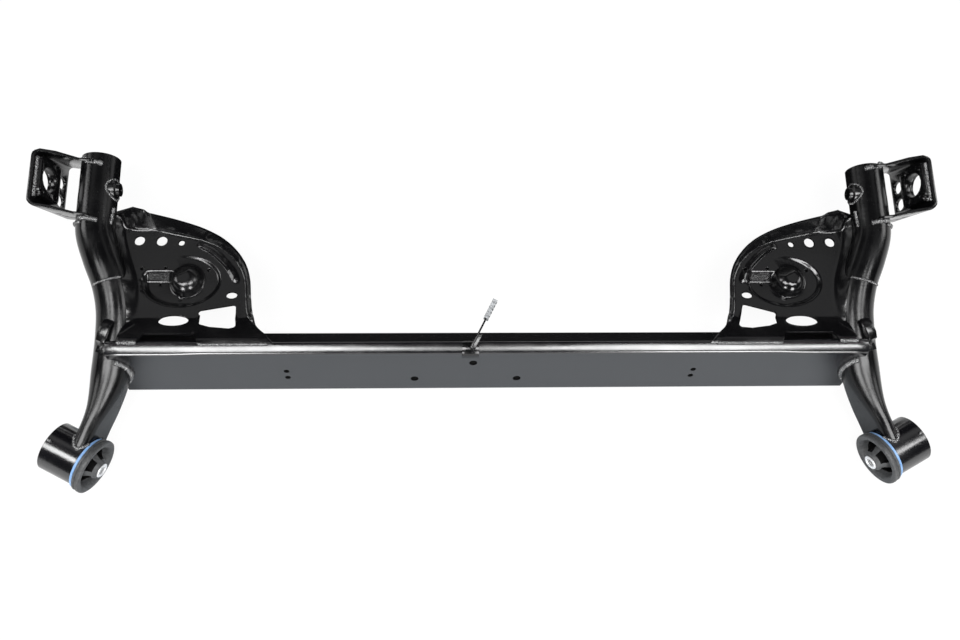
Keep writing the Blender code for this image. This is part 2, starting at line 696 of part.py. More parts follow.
def make_bush(parts, tools):
    sleeve_r = SLEEVE_OD / 2
    bore_r = sleeve_r - SLEEVE_WALL
    shell_r = bore_r - GAP
    rubber_r = shell_r - SHELL_WALL - GAP
    collar_from = SLEEVE_LENGTH + GAP
    collar_to = collar_from + COLLAR_WIDTH
    flange_from = collar_to + GAP
    face = FLANGE_FACE
    inner_r = INNER_OD / 2
    rim = FLANGE_OD / 2

    frame = bush_frame(0)
    sleeve = lathe("bush_sleeve_right", [
        (sleeve_r, SLEEVE_LENGTH), (sleeve_r, 0), (bore_r, 0), (bore_r, SLEEVE_LENGTH),
    ], parts, frame)
    shell = lathe("bush_shell_right", [
        (COLLAR_OD / 2, collar_to), (COLLAR_OD / 2, collar_from), (shell_r, collar_from),
        (shell_r, 0.001), (shell_r - SHELL_WALL, 0.001), (shell_r - SHELL_WALL, collar_to),
    ], parts, frame)
    rubber = lathe("bush_rubber_right", [
        (rim - 0.0016, face), (rim, face - 0.0030), (rim, flange_from + 0.0045),
        (rim - 0.0016, flange_from + 0.0030), (rim - 0.0008, flange_from + 0.0012),
        (rim - 0.0022, flange_from), (rubber_r, flange_from), (rubber_r, 0.004),
        (inner_r + GAP, 0.004), (inner_r + GAP, face + 0.004), (inner_r + 0.0030, face + 0.0035),
        (inner_r + 0.0100, face - 0.0060), (rubber_r - 0.0015, face - 0.0090),
        (rubber_r + 0.0010, face - 0.0035), (rim - 0.0060, face),
    ], parts, frame)
    voids = []
    for name, turn in (("front", math.pi / 2), ("back", -math.pi / 2)):
        half = math.radians(VOID_HALF_DEG)
        steps = [turn - half + 2 * half * k / 8 for k in range(9)]
        outline = [(VOID_OUTER_R * math.cos(a), VOID_OUTER_R * math.sin(a)) for a in steps]
        outline += [(VOID_INNER_R * math.cos(a), VOID_INNER_R * math.sin(a))
                    for a in reversed(steps)]
        void = slab(f"bush_void_{name}", outline, 2 * TRIM_LENGTH, tools, bush_frame(0))
        voids.append(hide_tool(void))
    rubber = cut(rubber, *voids)
    inner = lathe("bush_inner_sleeve_right", [
        (inner_r, face + INNER_PROUD), (inner_r, -INNER_PROUD_BACK),
        (INNER_BORE / 2, -INNER_PROUD_BACK), (INNER_BORE / 2, face + INNER_PROUD),
    ], parts, frame)
    return [sleeve, shell, rubber, inner]


# Spring pan

def pan_level(y):
    """Height of the pan's upper face, before the seat and the flanges."""
    crown = BEAM_CROWN_Z + GAP + PAN_T
    if y >= PAN_FOLD_Y:
        return PAN_FOLD_Z - PAN_SLOPE * (y - PAN_FOLD_Y)
    return min(crown, PAN_FOLD_Z + PAN_RISE_SLOPE * (PAN_FOLD_Y - y))


def pan_outline():
    """The pan's rim, once round: X, Y, Z and how far inside it the flange is bent up.

    Seen from the seat's centre its bearing only ever grows, so the spokes don't cross.
    """
    rim = []
    for point in catmull([(x, y, 0) for x, y in PAN_EDGE], PAN_EDGE_STEPS):
        tab = max(0.0, 1 - abs(point.x - PAN_TAB_X) / PAN_TAB_HALF)
        height = max(pan_level(point.y), PAN_RIM_Z + PAN_TAB_RISE * tab)
        foot = ease(-point.y, -PAN_FOOT_Y[0], -PAN_FOOT_Y[1])
        height += (pan_level(point.y) - height) * foot
        run = PAN_FLANGE_RUN + PAN_TAB_RUN * ease(point.x, PAN_TAB_X - 2 * PAN_TAB_HALF, PAN_TAB_X)
        rim.append((point.x, point.y, height, run))
    inboard, tongue_end = PAN_TONGUE_X
    heel_start = PAN_HEEL_END_X - PAN_HEEL_WIDTH
    notch_start = tongue_end + PAN_CORNER_RUN
    notch_end = heel_start - PAN_CORNER_RUN
    front = [(inboard + (tongue_end - inboard) * k / 3, PAN_TONGUE_Y) for k in range(4)]
    front += [(notch_start + (notch_end - notch_start) * k / 3, PAN_NOTCH_Y) for k in range(4)]
    front += [(heel_start, PAN_HEEL_Y), (PAN_HEEL_END_X, PAN_HEEL_Y),
              (PAN_HEEL_END_X, PAN_HEEL_Y + PAN_HEEL_SIDE)]
    for x, y in front:
        rim.append((x, y, pan_level(y), PAN_FLANGE_RUN))
    side_from, side_to = PAN_SIDE_Y
    for k in range(PAN_SIDE_POINTS):
        y = side_from + (side_to - side_from) * k / (PAN_SIDE_POINTS - 1)
        x, z = arm_x_z(y)
        height = min(pan_level(y) + PAN_SIDE_RISE, z + PAN_SIDE_DROP)
        rim.append((x - PAN_ARM_OVERLAP, y, height, PAN_ARM_RUN))
    return rim


def seat_depth(turn, right):
    """Depth of the helical spring seat, greatest at the coil's end stop.

    Both springs are wound the same way, so the stop lies inboard on the right and outboard
    on the left, and the seat climbs round the front first.
    """
    after = math.degrees(turn) - 180.0 if right else -math.degrees(turn)
    return SEAT_DEPTH * max(0.0, 1 - (after % 360.0) / SEAT_RAMP_DEG)


def make_pan(name, parts, tools, arm_solid, beam_solid, right):
    rim = pan_outline()
    centre = Vector((SEAT_X, SEAT_Y))
    work = bmesh.new()
    level = pan_level(SEAT_Y)
    top = work.verts.new((SEAT_X, SEAT_Y, level + SEAT_DOME_RISE))
    rows = []
    for x, y, z, run in rim:
        spoke = Vector((x, y)) - centre
        length = spoke.length
        unit = spoke / length
        turn = math.atan2(unit.y, unit.x)
        seat = 1 / math.sqrt((unit.x / SEAT_OUTER_A) ** 2 + (unit.y / SEAT_OUTER_B) ** 2)
        depth = seat_depth(turn, right)
        bend = length - run / max(0.35, abs(unit.dot(outline_normal(rim, (x, y)))))
        stations = [
            (SEAT_DOME_R * 0.42, SEAT_DOME_RISE * 0.93), (SEAT_DOME_R * 0.78, SEAT_DOME_RISE * 0.62),
            (SEAT_DOME_R, -depth), (seat - SEAT_WALL_RUN, -depth), (seat, 0.0), (bend, 0.0),
        ]
        row = []
        for reach, rise in stations:
            spot = centre + unit * reach
            row.append(work.verts.new((spot.x, spot.y, pan_level(spot.y) + rise)))
        row.append(work.verts.new((x, y, z)))
        rows.append(row)
    for row, following in zip(rows, rows[1:] + rows[:1]):
        work.faces.new((top, row[0], following[0]))
        for k in range(len(row) - 1):
            work.faces.new((row[k], row[k + 1], following[k + 1], following[k]))
    bmesh.ops.recalc_face_normals(work, faces=work.faces)
    if sum(face.normal.z for face in work.faces) < 0:
        bmesh.ops.reverse_faces(work, faces=work.faces)
    mesh = bpy.data.meshes.new(name)
    work.to_mesh(mesh)
    work.free()
    pan = bpy.data.objects.new(name, mesh)
    parts.objects.link(pan)
    wall = pan.modifiers.new("wall", "SOLIDIFY")
    wall.thickness = PAN_T
    wall.offset = -1.0
    pan = settle(pan)
    window = PAN_WINDOW_RIGHT if right else PAN_WINDOW_LEFT
    eye = PAN_EYE_RIGHT if right else PAN_EYE_LEFT
    pan = cut(pan, *pan_punches(tools, window, eye))
    return cut(pan, arm_solid, beam_solid)


def outline_normal(rim, spot):
    """Outward normal of the outline at one of its points, in plan."""
    places = [Vector((x, y)) for x, y, _, _ in rim]
    i = places.index(Vector(spot))
    edge = places[(i + 1) % len(places)] - places[i - 1]
    return Vector((edge.y, -edge.x)).normalized()


def pan_punches(tools, window, eye):
    flat = Matrix.Translation((0, 0, PAN_FOLD_Z))
    outlines = [ellipse(x, y, d, d, 16) for x, y, d in PAN_ROUND_HOLES]
    outlines += [ellipse(*PAN_SLOT, 14), ellipse(*eye, 20)]
    outlines.append(rounded(window, PAN_WINDOW_R, 3))
    return [hide_tool(slab(f"pan_punch_{i}", outline, PAN_PUNCH_LENGTH, tools, flat))
            for i, outline in enumerate(outlines)]


# Small brackets

def bent_strip(name, path, thickness, width, collection, matrix):
    """A strip bent along a path in the matrix's XY plane, with its width along Z."""
    upper, lower = [], []
    vectors = [Vector(point) for point in path]
    for i, point in enumerate(vectors):
        before = vectors[max(i - 1, 0)]
        after = vectors[min(i + 1, len(vectors) - 1)]
        a = (point - before).normalized() if i else (after - point).normalized()
        b = (after - point).normalized() if i < len(vectors) - 1 else a
        along = (a + b).normalized()
        normal = Vector((-along.y, along.x))
        reach = thickness / 2 / max(0.5, normal.dot(Vector((-a.y, a.x))))
        upper.append(tuple(point + normal * reach))
        lower.append(tuple(point - normal * reach))
    return slab(name, upper + lower[::-1], width, collection, matrix)


def make_hook(parts, arm_solid, beam_solid):
    turn = math.radians(HOOK_TURN_DEG)
    foot_y = HOOK_PROFILE[0][0]
    swing = Matrix.Translation((HOOK_X, foot_y, 0)) @ Matrix.Rotation(turn, 4, "Z")
    frame = swing @ axis_matrix((0, -foot_y, 0), (1, 0, 0), (0, 1, 0))
    base = HOOK_TUBE_Z + ARM_OD / 2
    path = [(y, base + rise) for y, rise in HOOK_PROFILE]
    hook = bent_strip("cable_hook_right", path, HOOK_T, HOOK_WIDTH, parts, frame)
    return cut(hook, arm_solid, beam_solid)


def saddle_path():
    """The crown's outer line with the foot's own half thickness and clearance added."""
    radius = BEAM_CROWN_R + GAP + GUIDE_FOOT_T / 2
    centre = Vector((BEAM_CROWN_Y, BEAM_CROWN_Z - BEAM_CROWN_R))
    slope = Vector((math.cos(FLANK), -math.sin(FLANK)))
    right = []
    for k in range(5):
        a = FLANK * k / 4
        right.append(centre + Vector((math.sin(a), math.cos(a))) * radius)
    right.append(right[-1] + slope * GUIDE_FOOT_LEG)
    left = [Vector((2 * BEAM_CROWN_Y - point.x, point.y)) for point in right[:0:-1]]
    return [tuple(point) for point in left + right]


def make_guide(parts):
    across = axis_matrix((GUIDE_X, 0, 0), (1, 0, 0), (0, 1, 0))
    foot = bent_strip("guide_foot", saddle_path(), GUIDE_FOOT_T, GUIDE_FOOT_WIDTH, parts, across)
    turn = math.radians(GUIDE_TURN_DEG)
    along = Vector((math.sin(turn), math.cos(turn), 0.0))
    base_z = BEAM_CROWN_Z + GAP + GUIDE_FOOT_T + GAP
    start = Vector((GUIDE_X, BEAM_CROWN_Y - 0.004, base_z))
    half = GUIDE_STRIP_HEIGHT / 2
    strip_mid = start + along * (GUIDE_STRIP_LENGTH / 2) + Vector((0, 0, half))
    strip = box("guide_strip", (GUIDE_STRIP_LENGTH, GUIDE_STRIP_T, GUIDE_STRIP_HEIGHT),
                axis_matrix(strip_mid, (0, 0, 1), along), parts)
    clip_at = start + along * (GUIDE_STRIP_LENGTH + GAP)
    clip = make_clip(parts, axis_matrix(clip_at, (0, 0, 1), along))
    return [foot, strip, clip]


def make_clip(parts, frame):
    """The clip's ribbed outline in plan, a comb of rounded teeth along both sides."""
    pitch = GUIDE_CLIP_LENGTH / (2 * GUIDE_CLIP_RIBS + 1)
    half, waist = GUIDE_CLIP_WIDTH / 2, GUIDE_CLIP_WIDTH / 2 - 0.0009
    side = []
    for k in range(2 * GUIDE_CLIP_RIBS + 1):
        reach = half if k % 2 == 0 else waist
        side += [(k * pitch, reach), ((k + 1) * pitch, reach)]
    outline = side + [(x, -y) for x, y in reversed(side)]
    lift = Matrix.Translation((0, 0, GUIDE_CLIP_HEIGHT / 2))
    return slab("guide_clip", outline, GUIDE_CLIP_HEIGHT, parts, frame @ lift)


def box(name, size, matrix, collection):
    work = bmesh.new()
    bmesh.ops.create_cube(work, size=1.0)
    bmesh.ops.scale(work, vec=size, verts=work.verts)
    bmesh.ops.transform(work, matrix=matrix, verts=work.verts)
    return object_from_bmesh(name, work, collection)


def mirrored(obj, name, collection):
    """The same piece on the other side of the car."""
    work = bmesh.new()
    work.from_mesh(obj.data)
    bmesh.ops.transform(work, matrix=Matrix.Scale(-1, 4, (1, 0, 0)), verts=work.verts)
    return object_from_bmesh(name, work, collection)


def main():
    clear_scene()
    parts = make_collection("rear_axle")
    tools = make_collection("cutters")
    paint = ("black_coat", BLACK, 0.25, 0.0)
    finishes = {
        "bush_shell": ("blue_shell", (0.25, 0.42, 0.68, 1.0), 0.4, 0.0),
        "bush_rubber": ("rubber", (0.055, 0.055, 0.058, 1.0), 0.6, 0.0),
        "bush_inner_sleeve": ("bare_steel", (0.72, 0.73, 0.74, 1.0), 0.35, 1.0),
        "guide_clip": ("clip_plastic", (0.35, 0.36, 0.37, 1.0), 0.45, 0.0),
    }
    envelope = arm_envelope(tools)
    beam_solid = hide_tool(loft("beam_envelope", beam_rings(GAP, True), tools))
    beam = make_beam(parts, tools, envelope)
    sided = [
        make_arm_front(parts, tools), make_bracket(parts, tools, envelope),
        make_hub_plate(parts, tools), make_boss(parts, tools, envelope),
        make_hook(parts, envelope, beam_solid),
    ] + make_bush(parts, tools)
    pieces = [beam] + make_guide(parts) + sided
    for piece in sided:
        pieces.append(mirrored(piece, piece.name.replace("_right", "_left"), parts))
    pieces.append(make_arm_rear("arm_rear_right", parts))
    pieces.append(make_pan("spring_pan_right", parts, tools, envelope, beam_solid, True))
    for pattern in (make_arm_rear("left_tube_pattern", parts, ARM_REAR_EXTRA_LEFT),
                    make_pan("left_pan_pattern", parts, tools, envelope, beam_solid, False)):
        name = "arm_rear_left" if "tube" in pattern.name else "spring_pan_left"
        pieces.append(mirrored(pattern, name, parts))
        bpy.data.objects.remove(pattern)

    spots = [vertex.co for piece in pieces for vertex in piece.data.vertices]
    middle = [(min(spot[i] for spot in spots) + max(spot[i] for spot in spots)) / 2
              for i in (0, 1)]
    frame = bpy.data.objects.new("axle_frame", None)
    parts.objects.link(frame)
    frame.location = (-middle[0], -middle[1], -min(spot[2] for spot in spots))
    for piece in pieces:
        stem = piece.name.replace("_right", "").replace("_left", "")
        name, colour, roughness, metallic = finishes.get(stem, paint)
        piece.data.materials.append(make_material(f"{name}_{piece.name}", colour, roughness, metallic))
        piece.data.shade_smooth()
        piece.data.set_sharp_from_angle(angle=math.radians(30))
        piece.parent = frame


main()
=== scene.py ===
"""Finished look of a twist beam rear axle in gloss black dip coat, on a white floor."""

import json
import math

import bmesh
import bpy
from mathutils import Matrix, Vector
from mathutils.bvhtree import BVHTree
from mathutils.geometry import delaunay_2d_cdt
from mathutils.kdtree import KDTree

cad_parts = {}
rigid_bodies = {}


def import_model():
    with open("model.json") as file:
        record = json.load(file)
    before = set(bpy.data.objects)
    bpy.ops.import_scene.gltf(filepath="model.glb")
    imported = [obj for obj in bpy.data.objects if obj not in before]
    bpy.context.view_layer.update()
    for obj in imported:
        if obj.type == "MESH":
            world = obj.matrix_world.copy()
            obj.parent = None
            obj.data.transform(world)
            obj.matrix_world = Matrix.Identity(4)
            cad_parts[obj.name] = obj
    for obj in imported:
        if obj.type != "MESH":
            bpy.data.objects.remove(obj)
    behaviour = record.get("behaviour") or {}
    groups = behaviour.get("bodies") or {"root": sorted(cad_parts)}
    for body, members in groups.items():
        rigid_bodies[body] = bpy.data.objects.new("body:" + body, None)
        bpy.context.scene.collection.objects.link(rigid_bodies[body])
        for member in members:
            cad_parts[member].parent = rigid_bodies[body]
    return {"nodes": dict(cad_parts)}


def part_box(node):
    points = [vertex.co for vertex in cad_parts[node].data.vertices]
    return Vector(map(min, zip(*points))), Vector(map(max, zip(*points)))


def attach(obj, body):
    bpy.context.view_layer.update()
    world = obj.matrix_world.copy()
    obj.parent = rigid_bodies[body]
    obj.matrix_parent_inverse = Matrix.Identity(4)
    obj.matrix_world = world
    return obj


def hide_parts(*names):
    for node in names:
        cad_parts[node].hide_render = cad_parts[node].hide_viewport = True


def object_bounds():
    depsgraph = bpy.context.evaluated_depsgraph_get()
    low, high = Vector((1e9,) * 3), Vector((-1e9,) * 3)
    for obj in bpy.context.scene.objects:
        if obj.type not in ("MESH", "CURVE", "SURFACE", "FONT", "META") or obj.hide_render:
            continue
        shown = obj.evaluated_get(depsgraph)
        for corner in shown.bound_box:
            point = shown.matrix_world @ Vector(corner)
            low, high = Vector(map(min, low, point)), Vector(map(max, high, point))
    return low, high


for leftover in list(bpy.data.objects):
    bpy.data.objects.remove(leftover)
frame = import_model()
CAD_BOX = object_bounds()
BEAM_LOW, BEAM_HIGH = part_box("cross_beam")

# Sizes that the finished pieces share with the solids, in metres
GAP = 0.0003
BEAM_CROWN_Y = -0.038
SHIFT = Vector((0.0, (BEAM_LOW.y + BEAM_HIGH.y) / 2 - BEAM_CROWN_Y, 0.0))
BEAM_CROWN_Z, BEAM_BOTTOM_Z = 0.097, 0.010
BEAM_WALL = 0.005
FLANK = math.radians(68.0)
CROWN_R = 0.0105
ARM_OD = 0.054
ARM_WALL = 0.0035
ARM_X, ARM_Z = 0.572, 0.083
ARM_AXIS = [
    (ARM_X, 0.2405, ARM_Z), (ARM_X, 0.205, ARM_Z), (ARM_X, 0.170, ARM_Z),
    (0.5705, 0.135, 0.0825), (0.559, 0.099, 0.079), (0.5455, 0.064, 0.073),
    (0.538, 0.028, 0.067), (0.537, -0.008, 0.062), (0.539, -0.044, 0.057),
    (0.543, -0.080, 0.052), (0.5505, -0.115, 0.047), (0.563, -0.148, 0.042),
]
ARM_WELD_INDEX = 5
ARM_REAR_EXTRA_LEFT = 0.0085
PINCH_FROM_Y, PINCH_TO_Y = -0.058, -0.142
PINCH_WIDTH, PINCH_HEIGHT = 0.024, 0.066
BUSH_TURN = math.radians(27.5)
BUSH_AXIS = Vector((-math.cos(BUSH_TURN), -math.sin(BUSH_TURN), 0.0))
BUSH_OUTER = Vector((0.615, -0.1635, 0.0396))
SLEEVE_OD, SLEEVE_WALL, SLEEVE_LENGTH = 0.0694, 0.0032, 0.052
COLLAR_OD, COLLAR_WIDTH, SHELL_WALL = 0.0740, 0.0042, 0.0018
FLANGE_OD, FLANGE_WIDTH = 0.0792, 0.0115
INNER_OD, INNER_BORE, INNER_PROUD, INNER_BACK = 0.0208, 0.0128, 0.0095, 0.006
RUBBER_BACK, VOID_INNER_R, VOID_OUTER_R = 0.004, 0.0150, 0.0264
VOIDS = [(90, 34), (-90, 34), (0, 28), (180, 28)]
FACE = SLEEVE_LENGTH + 2 * GAP + COLLAR_WIDTH + FLANGE_WIDTH
PAN_T = 0.003
PAN_FOLD_Y, PAN_FOLD_Z, PAN_SLOPE, PAN_RISE_SLOPE = 0.008, 0.0843, 0.14, 0.47
SEAT = Vector((0.440, 0.067))

ROUND_STEPS, HOLE_STEPS, CORNER_STEPS, BEND_STEPS = 96, 40, 8, 10
ARM_SIDES, ARM_STEPS = 72, 9

# Sizes of the patterns in the finishes, in metres
STREAK_SIZE = 0.045
SPECK_SIZE = 0.0022
RIPPLE_SIZE = 0.0024
BLOOM_SIZE = 0.004
MOTTLE_SIZE = 0.003
STEEL_GRAIN = 0.0015


# Nodes and materials

def linear(code):
    """A linear colour from an sRGB hex code."""
    channels = [int(code[i:i + 2], 16) / 255 for i in (0, 2, 4)]
    return [c / 12.92 if c <= 0.04045 else ((c + 0.055) / 1.055) ** 2.4
            for c in channels] + [1.0]


def fill(tree, node, inputs):
    """Set a node's inputs, as values or as links."""
    for name, value in inputs.items():
        if isinstance(value, bpy.types.NodeSocket):
            tree.links.new(value, node.inputs[name])
        else:
            node.inputs[name].default_value = value


def add(tree, kind, settings=None, inputs=None):
    """Add a node, with its settings and inputs."""
    made = tree.nodes.new(kind)
    for name, value in (settings or {}).items():
        setattr(made, name, value)
    fill(tree, made, inputs or {})
    return made


def new_material(name):
    """A material, its node tree, its shader and the Object coordinates."""
    material = bpy.data.materials.new(name)
    material.use_nodes = True
    tree = material.node_tree
    shader = tree.nodes["Principled BSDF"]
    place = add(tree, "ShaderNodeTexCoord").outputs["Object"]
    return material, tree, shader, place


def dip_coat(name, shade, ior, rough, peel_mm, peel_depth, speck=0.0):
    """Electro-dip paint: near black, glossy, with orange peel and faint streaks where it ran."""
    material, tree, shader, place = new_material(name)
    cloud = add(tree, "ShaderNodeTexNoise", None, {
        "Vector": place, "Scale": 1 / STREAK_SIZE, "Detail": 3.0, "Roughness": 0.6})
    dullness = add(tree, "ShaderNodeMapRange", None, {
        "Value": cloud.outputs["Fac"], "From Min": 0.35, "From Max": 0.65,
        "To Min": rough[0], "To Max": rough[1]})
    tint = add(tree, "ShaderNodeMix", {"data_type": "RGBA"}, {
        0: cloud.outputs["Fac"], 6: linear(shade[0]), 7: linear(shade[1])})
    colour = tint.outputs[2]
    if speck:
        # Pale specks mixed into the paint's colour, drawn coarser than real so that they show
        speckle = add(tree, "ShaderNodeTexNoise", None, {
            "Vector": place, "Scale": 1 / SPECK_SIZE, "Detail": 2.0, "Roughness": 0.7})
        dots = add(tree, "ShaderNodeMapRange", None, {
            "Value": speckle.outputs["Fac"], "From Min": 0.66, "From Max": 0.78,
            "To Min": 0.0, "To Max": speck})
        pale = add(tree, "ShaderNodeMix", {"data_type": "RGBA"}, {
            0: dots.outputs["Result"], 6: colour, 7: linear("8C8C8C")})
        colour = pale.outputs[2]
    peel = add(tree, "ShaderNodeTexNoise", None, {
        "Vector": place, "Scale": 1000 / peel_mm, "Detail": 2.0, "Roughness": 0.5})
    bump = add(tree, "ShaderNodeBump", None, {
        "Height": peel.outputs["Fac"], "Strength": 1.0, "Distance": peel_depth})
    fill(tree, shader, {
        "IOR": ior, "Roughness": dullness.outputs["Result"], "Base Color": colour,
        "Normal": bump.outputs["Normal"]})
    return material


def weld_coat():
    """Painted weld metal: the same paint over sharp ripples, which glint, its colour lighter than the
    paint's as painted sheen.
    """
    material, tree, shader, place = new_material("coated_weld_bead_painted_sheen")
    lumps = add(tree, "ShaderNodeTexNoise", None, {
        "Vector": place, "Scale": 1 / RIPPLE_SIZE, "Detail": 3.0, "Roughness": 0.6})
    dullness = add(tree, "ShaderNodeMapRange", None, {
        "Value": lumps.outputs["Fac"], "From Min": 0.3, "From Max": 0.7,
        "To Min": 0.08, "To Max": 0.32})
    bump = add(tree, "ShaderNodeBump", None, {
        "Height": lumps.outputs["Fac"], "Strength": 1.0, "Distance": 0.0012})
    # The base colour, a lighter grey than the coat, is painted sheen that helps the ripples glint.
    fill(tree, shader, {
        "Base Color": linear("2E2E2F"), "IOR": 2.2, "Roughness": dullness.outputs["Result"],
        "Normal": bump.outputs["Normal"]})
    return material


def even_matt(name, shade, rough, specular):
    """One even colour with hardly any shine, as of a card, or as painted shade in a deep hole."""
    material = bpy.data.materials.new(name)
    material.use_nodes = True
    tree = material.node_tree
    fill(tree, tree.nodes["Principled BSDF"], {
        "Base Color": linear(shade), "Roughness": rough, "Specular IOR Level": specular})
    return material


def moulded_rubber():
    """Natural rubber, moulded: dark grey, matt, with a dusty bloom, drawn coarser than real."""
    material, tree, shader, place = new_material("moulded_rubber")
    bloom = add(tree, "ShaderNodeTexNoise", None, {
        "Vector": place, "Scale": 1 / BLOOM_SIZE, "Detail": 4.0, "Roughness": 0.65})
    dust = add(tree, "ShaderNodeMapRange", None, {
        "Value": bloom.outputs["Fac"], "From Min": 0.3, "From Max": 0.7})
    tint = add(tree, "ShaderNodeMix", {"data_type": "RGBA"}, {
        0: dust.outputs["Result"], 6: linear("262728"), 7: linear("464748")})
    dullness = add(tree, "ShaderNodeMapRange", None, {
        "Value": bloom.outputs["Fac"], "To Min": 0.45, "To Max": 0.62})
    bump = add(tree, "ShaderNodeBump", None, {
        "Height": bloom.outputs["Fac"], "Strength": 0.6, "Distance": 0.0003})
    fill(tree, shader, {
        "Base Color": tint.outputs[2], "Roughness": dullness.outputs["Result"],
        "Normal": bump.outputs["Normal"]})
    return material


def moulded_nylon(name, low, high):
    """Glass-filled nylon, moulded: an even colour with a slight sheen, its mottle drawn coarse."""
    material, tree, shader, place = new_material(name)
    grain = add(tree, "ShaderNodeTexNoise", None, {
        "Vector": place, "Scale": 1 / MOTTLE_SIZE, "Detail": 3.0})
    mottle = add(tree, "ShaderNodeMapRange", None, {
        "Value": grain.outputs["Fac"], "From Min": 0.35, "From Max": 0.65})
    tint = add(tree, "ShaderNodeMix", {"data_type": "RGBA"}, {
        0: mottle.outputs["Result"], 6: linear(low), 7: linear(high)})
    fill(tree, shader, {"Base Color": tint.outputs[2], "Roughness": 0.38})
    return material


def turned_steel():
    """Turned steel end face, bare and bright, with lathe rings too fine to see singly."""
    material, tree, shader, place = new_material("turned_steel")
    grain = add(tree, "ShaderNodeTexNoise", None, {
        "Vector": place, "Scale": 1 / STEEL_GRAIN, "Detail": 3.0})
    tint = add(tree, "ShaderNodeMix", {"data_type": "RGBA"}, {
        0: grain.outputs["Fac"], 6: linear("E6E7E8"), 7: linear("FBFBFB")})
    dullness = add(tree, "ShaderNodeMapRange", None, {
        "Value": grain.outputs["Fac"], "To Min": 0.34, "To Max": 0.5})
    fill(tree, shader, {
        "Base Color": tint.outputs[2], "Roughness": dullness.outputs["Result"],
        "Metallic": 0.85})
    return material


# Shades, IOR, range of roughness, the peel's pitch in mm and its depth in metres, share of specks
TUBE_COAT = dip_coat("dip_coat_on_tube", ("040405", "0B0B0C"), 1.42, (0.16, 0.28), 2.6, 0.00010,
                     0.10)
PAN_COAT = dip_coat("dip_coat_on_pressing", ("050506", "0D0D0E"), 1.62, (0.14, 0.26), 3.0, 0.00010)
BEAM_COAT = dip_coat("dip_coat_on_beam", ("060608", "0D0D10"), 1.9, (0.18, 0.26), 3.5, 0.00006)
PLATE_COAT = dip_coat("dip_coat_on_plate", ("050506", "0E0E0F"), 1.6, (0.14, 0.26), 2.2, 0.00014)
WELD = weld_coat()
# Near-black matt for the walls and floors of the beam's blind holes: painted shade, so that they read
# dark.
HOLE_PAINTED_SHADE = even_matt("painted_shade_in_hole", "050505", 0.8, 0.1)
# Near-black matt for the walls of the rubber's voids: painted shade.
VOID_PAINTED_SHADE = even_matt("painted_shade_in_void", "050505", 0.8, 0.1)
RUBBER = moulded_rubber()
BLUE = moulded_nylon("blue_nylon_shell", "6488B4", "7C9EC8")
CLIP = moulded_nylon("grey_nylon_clip", "6C6E70", "A2A4A6")
STEEL = turned_steel()


# Meshes

def new_object(name, data):
    """An object, put into the scene."""
    obj = bpy.data.objects.new(name, data)
    bpy.context.scene.collection.objects.link(obj)
    return obj


def to_object(name, work, flip_check=True):
    """A bmesh as an object, with its faces turned outward if asked."""
    if flip_check:
        bmesh.ops.recalc_face_normals(work, faces=work.faces)
    mesh = bpy.data.meshes.new(name)
    work.to_mesh(mesh)
    work.free()
    return new_object(name, mesh)


def place_mesh(name, work, material, slot, replaced=(), sharp_deg=35.0, flip_check=True):
    """Finish a bmesh as a piece of the axle."""
    piece = to_object(name, work, flip_check)
    piece.data.shade_smooth()
    piece.data.set_sharp_from_angle(angle=math.radians(sharp_deg))
    piece.data.materials.append(material)
    if replaced:
        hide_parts(*replaced)
    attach(piece, "root")
    return piece


def absorb(work, obj):
    """Add an object's evaluated mesh to a bmesh, and remove the object."""
    bpy.context.view_layer.update()
    graph = bpy.context.evaluated_depsgraph_get()
    mesh = bpy.data.meshes.new_from_object(obj.evaluated_get(graph))
    work.from_mesh(mesh)
    bpy.data.meshes.remove(mesh)
    bpy.data.objects.remove(obj)


def take(obj):
    """The evaluated mesh of an object as a merged bmesh, after which the object is removed."""
    work = bmesh.new()
    absorb(work, obj)
    bmesh.ops.remove_doubles(work, verts=work.verts, dist=1e-6)
    return work


def cut(work, tools):
    """Cut a bmesh with others, and use those up."""
    target = to_object("target", work)
    cutters = [to_object(f"cutter_{i}", tool) for i, tool in enumerate(tools)]
    for cutter in cutters:
        modifier = target.modifiers.new("cut", "BOOLEAN")
        modifier.operation = "DIFFERENCE"
        modifier.solver = "EXACT"
        modifier.object = cutter
    result = take(target)
    for cutter in cutters:
        bpy.data.objects.remove(cutter)
    return result


def bevelled(work, width, angle_deg):
    """Round the sharp edges of a bmesh, in two steps."""
    obj = to_object("bevelled", work)
    modifier = obj.modifiers.new("round", "BEVEL")
    modifier.width = width
    modifier.segments = 2
    modifier.limit_method = "ANGLE"
    modifier.angle_limit = math.radians(angle_deg)
    return take(obj)


def mirrored(work):
    """A bmesh turned into its mirror image in X."""
    bmesh.ops.transform(work, matrix=Matrix.Scale(-1, 4, (1, 0, 0)), verts=work.verts)
    return work


def moved(work):
    """A bmesh built round the beam's own line, moved to where the frame has it."""
    bmesh.ops.translate(work, vec=SHIFT, verts=work.verts)
    return work


def sided(work, side):
    """A right-hand piece, moved to the frame's place and mirrored for the left."""
    return mirrored(moved(work)) if side == "left" else moved(work)


def skin(rings, inner=None, close=True):
    """Skin a row of closed rings, with end caps or an inner wall."""
    work = bmesh.new()

    def band(near, far):
        """Faces from one loop to the next."""
        for i in range(len(near)):
            j = (i + 1) % len(near)
            work.faces.new((near[i], near[j], far[j], far[i]))

    def rows_of(rows):
        """Loops of vertices, with a band between each two."""
        loops = [[work.verts.new(point) for point in row] for row in rows]
        for near, far in zip(loops, loops[1:]):
            band(near, far)
        return loops

    outer = rows_of(rings)
    if inner is None:
        if close:
            work.faces.new(outer[0])
            work.faces.new(outer[-1])
        return work
    within = rows_of(inner)
    for end in (0, -1):
        band(outer[end], within[end])
    return work


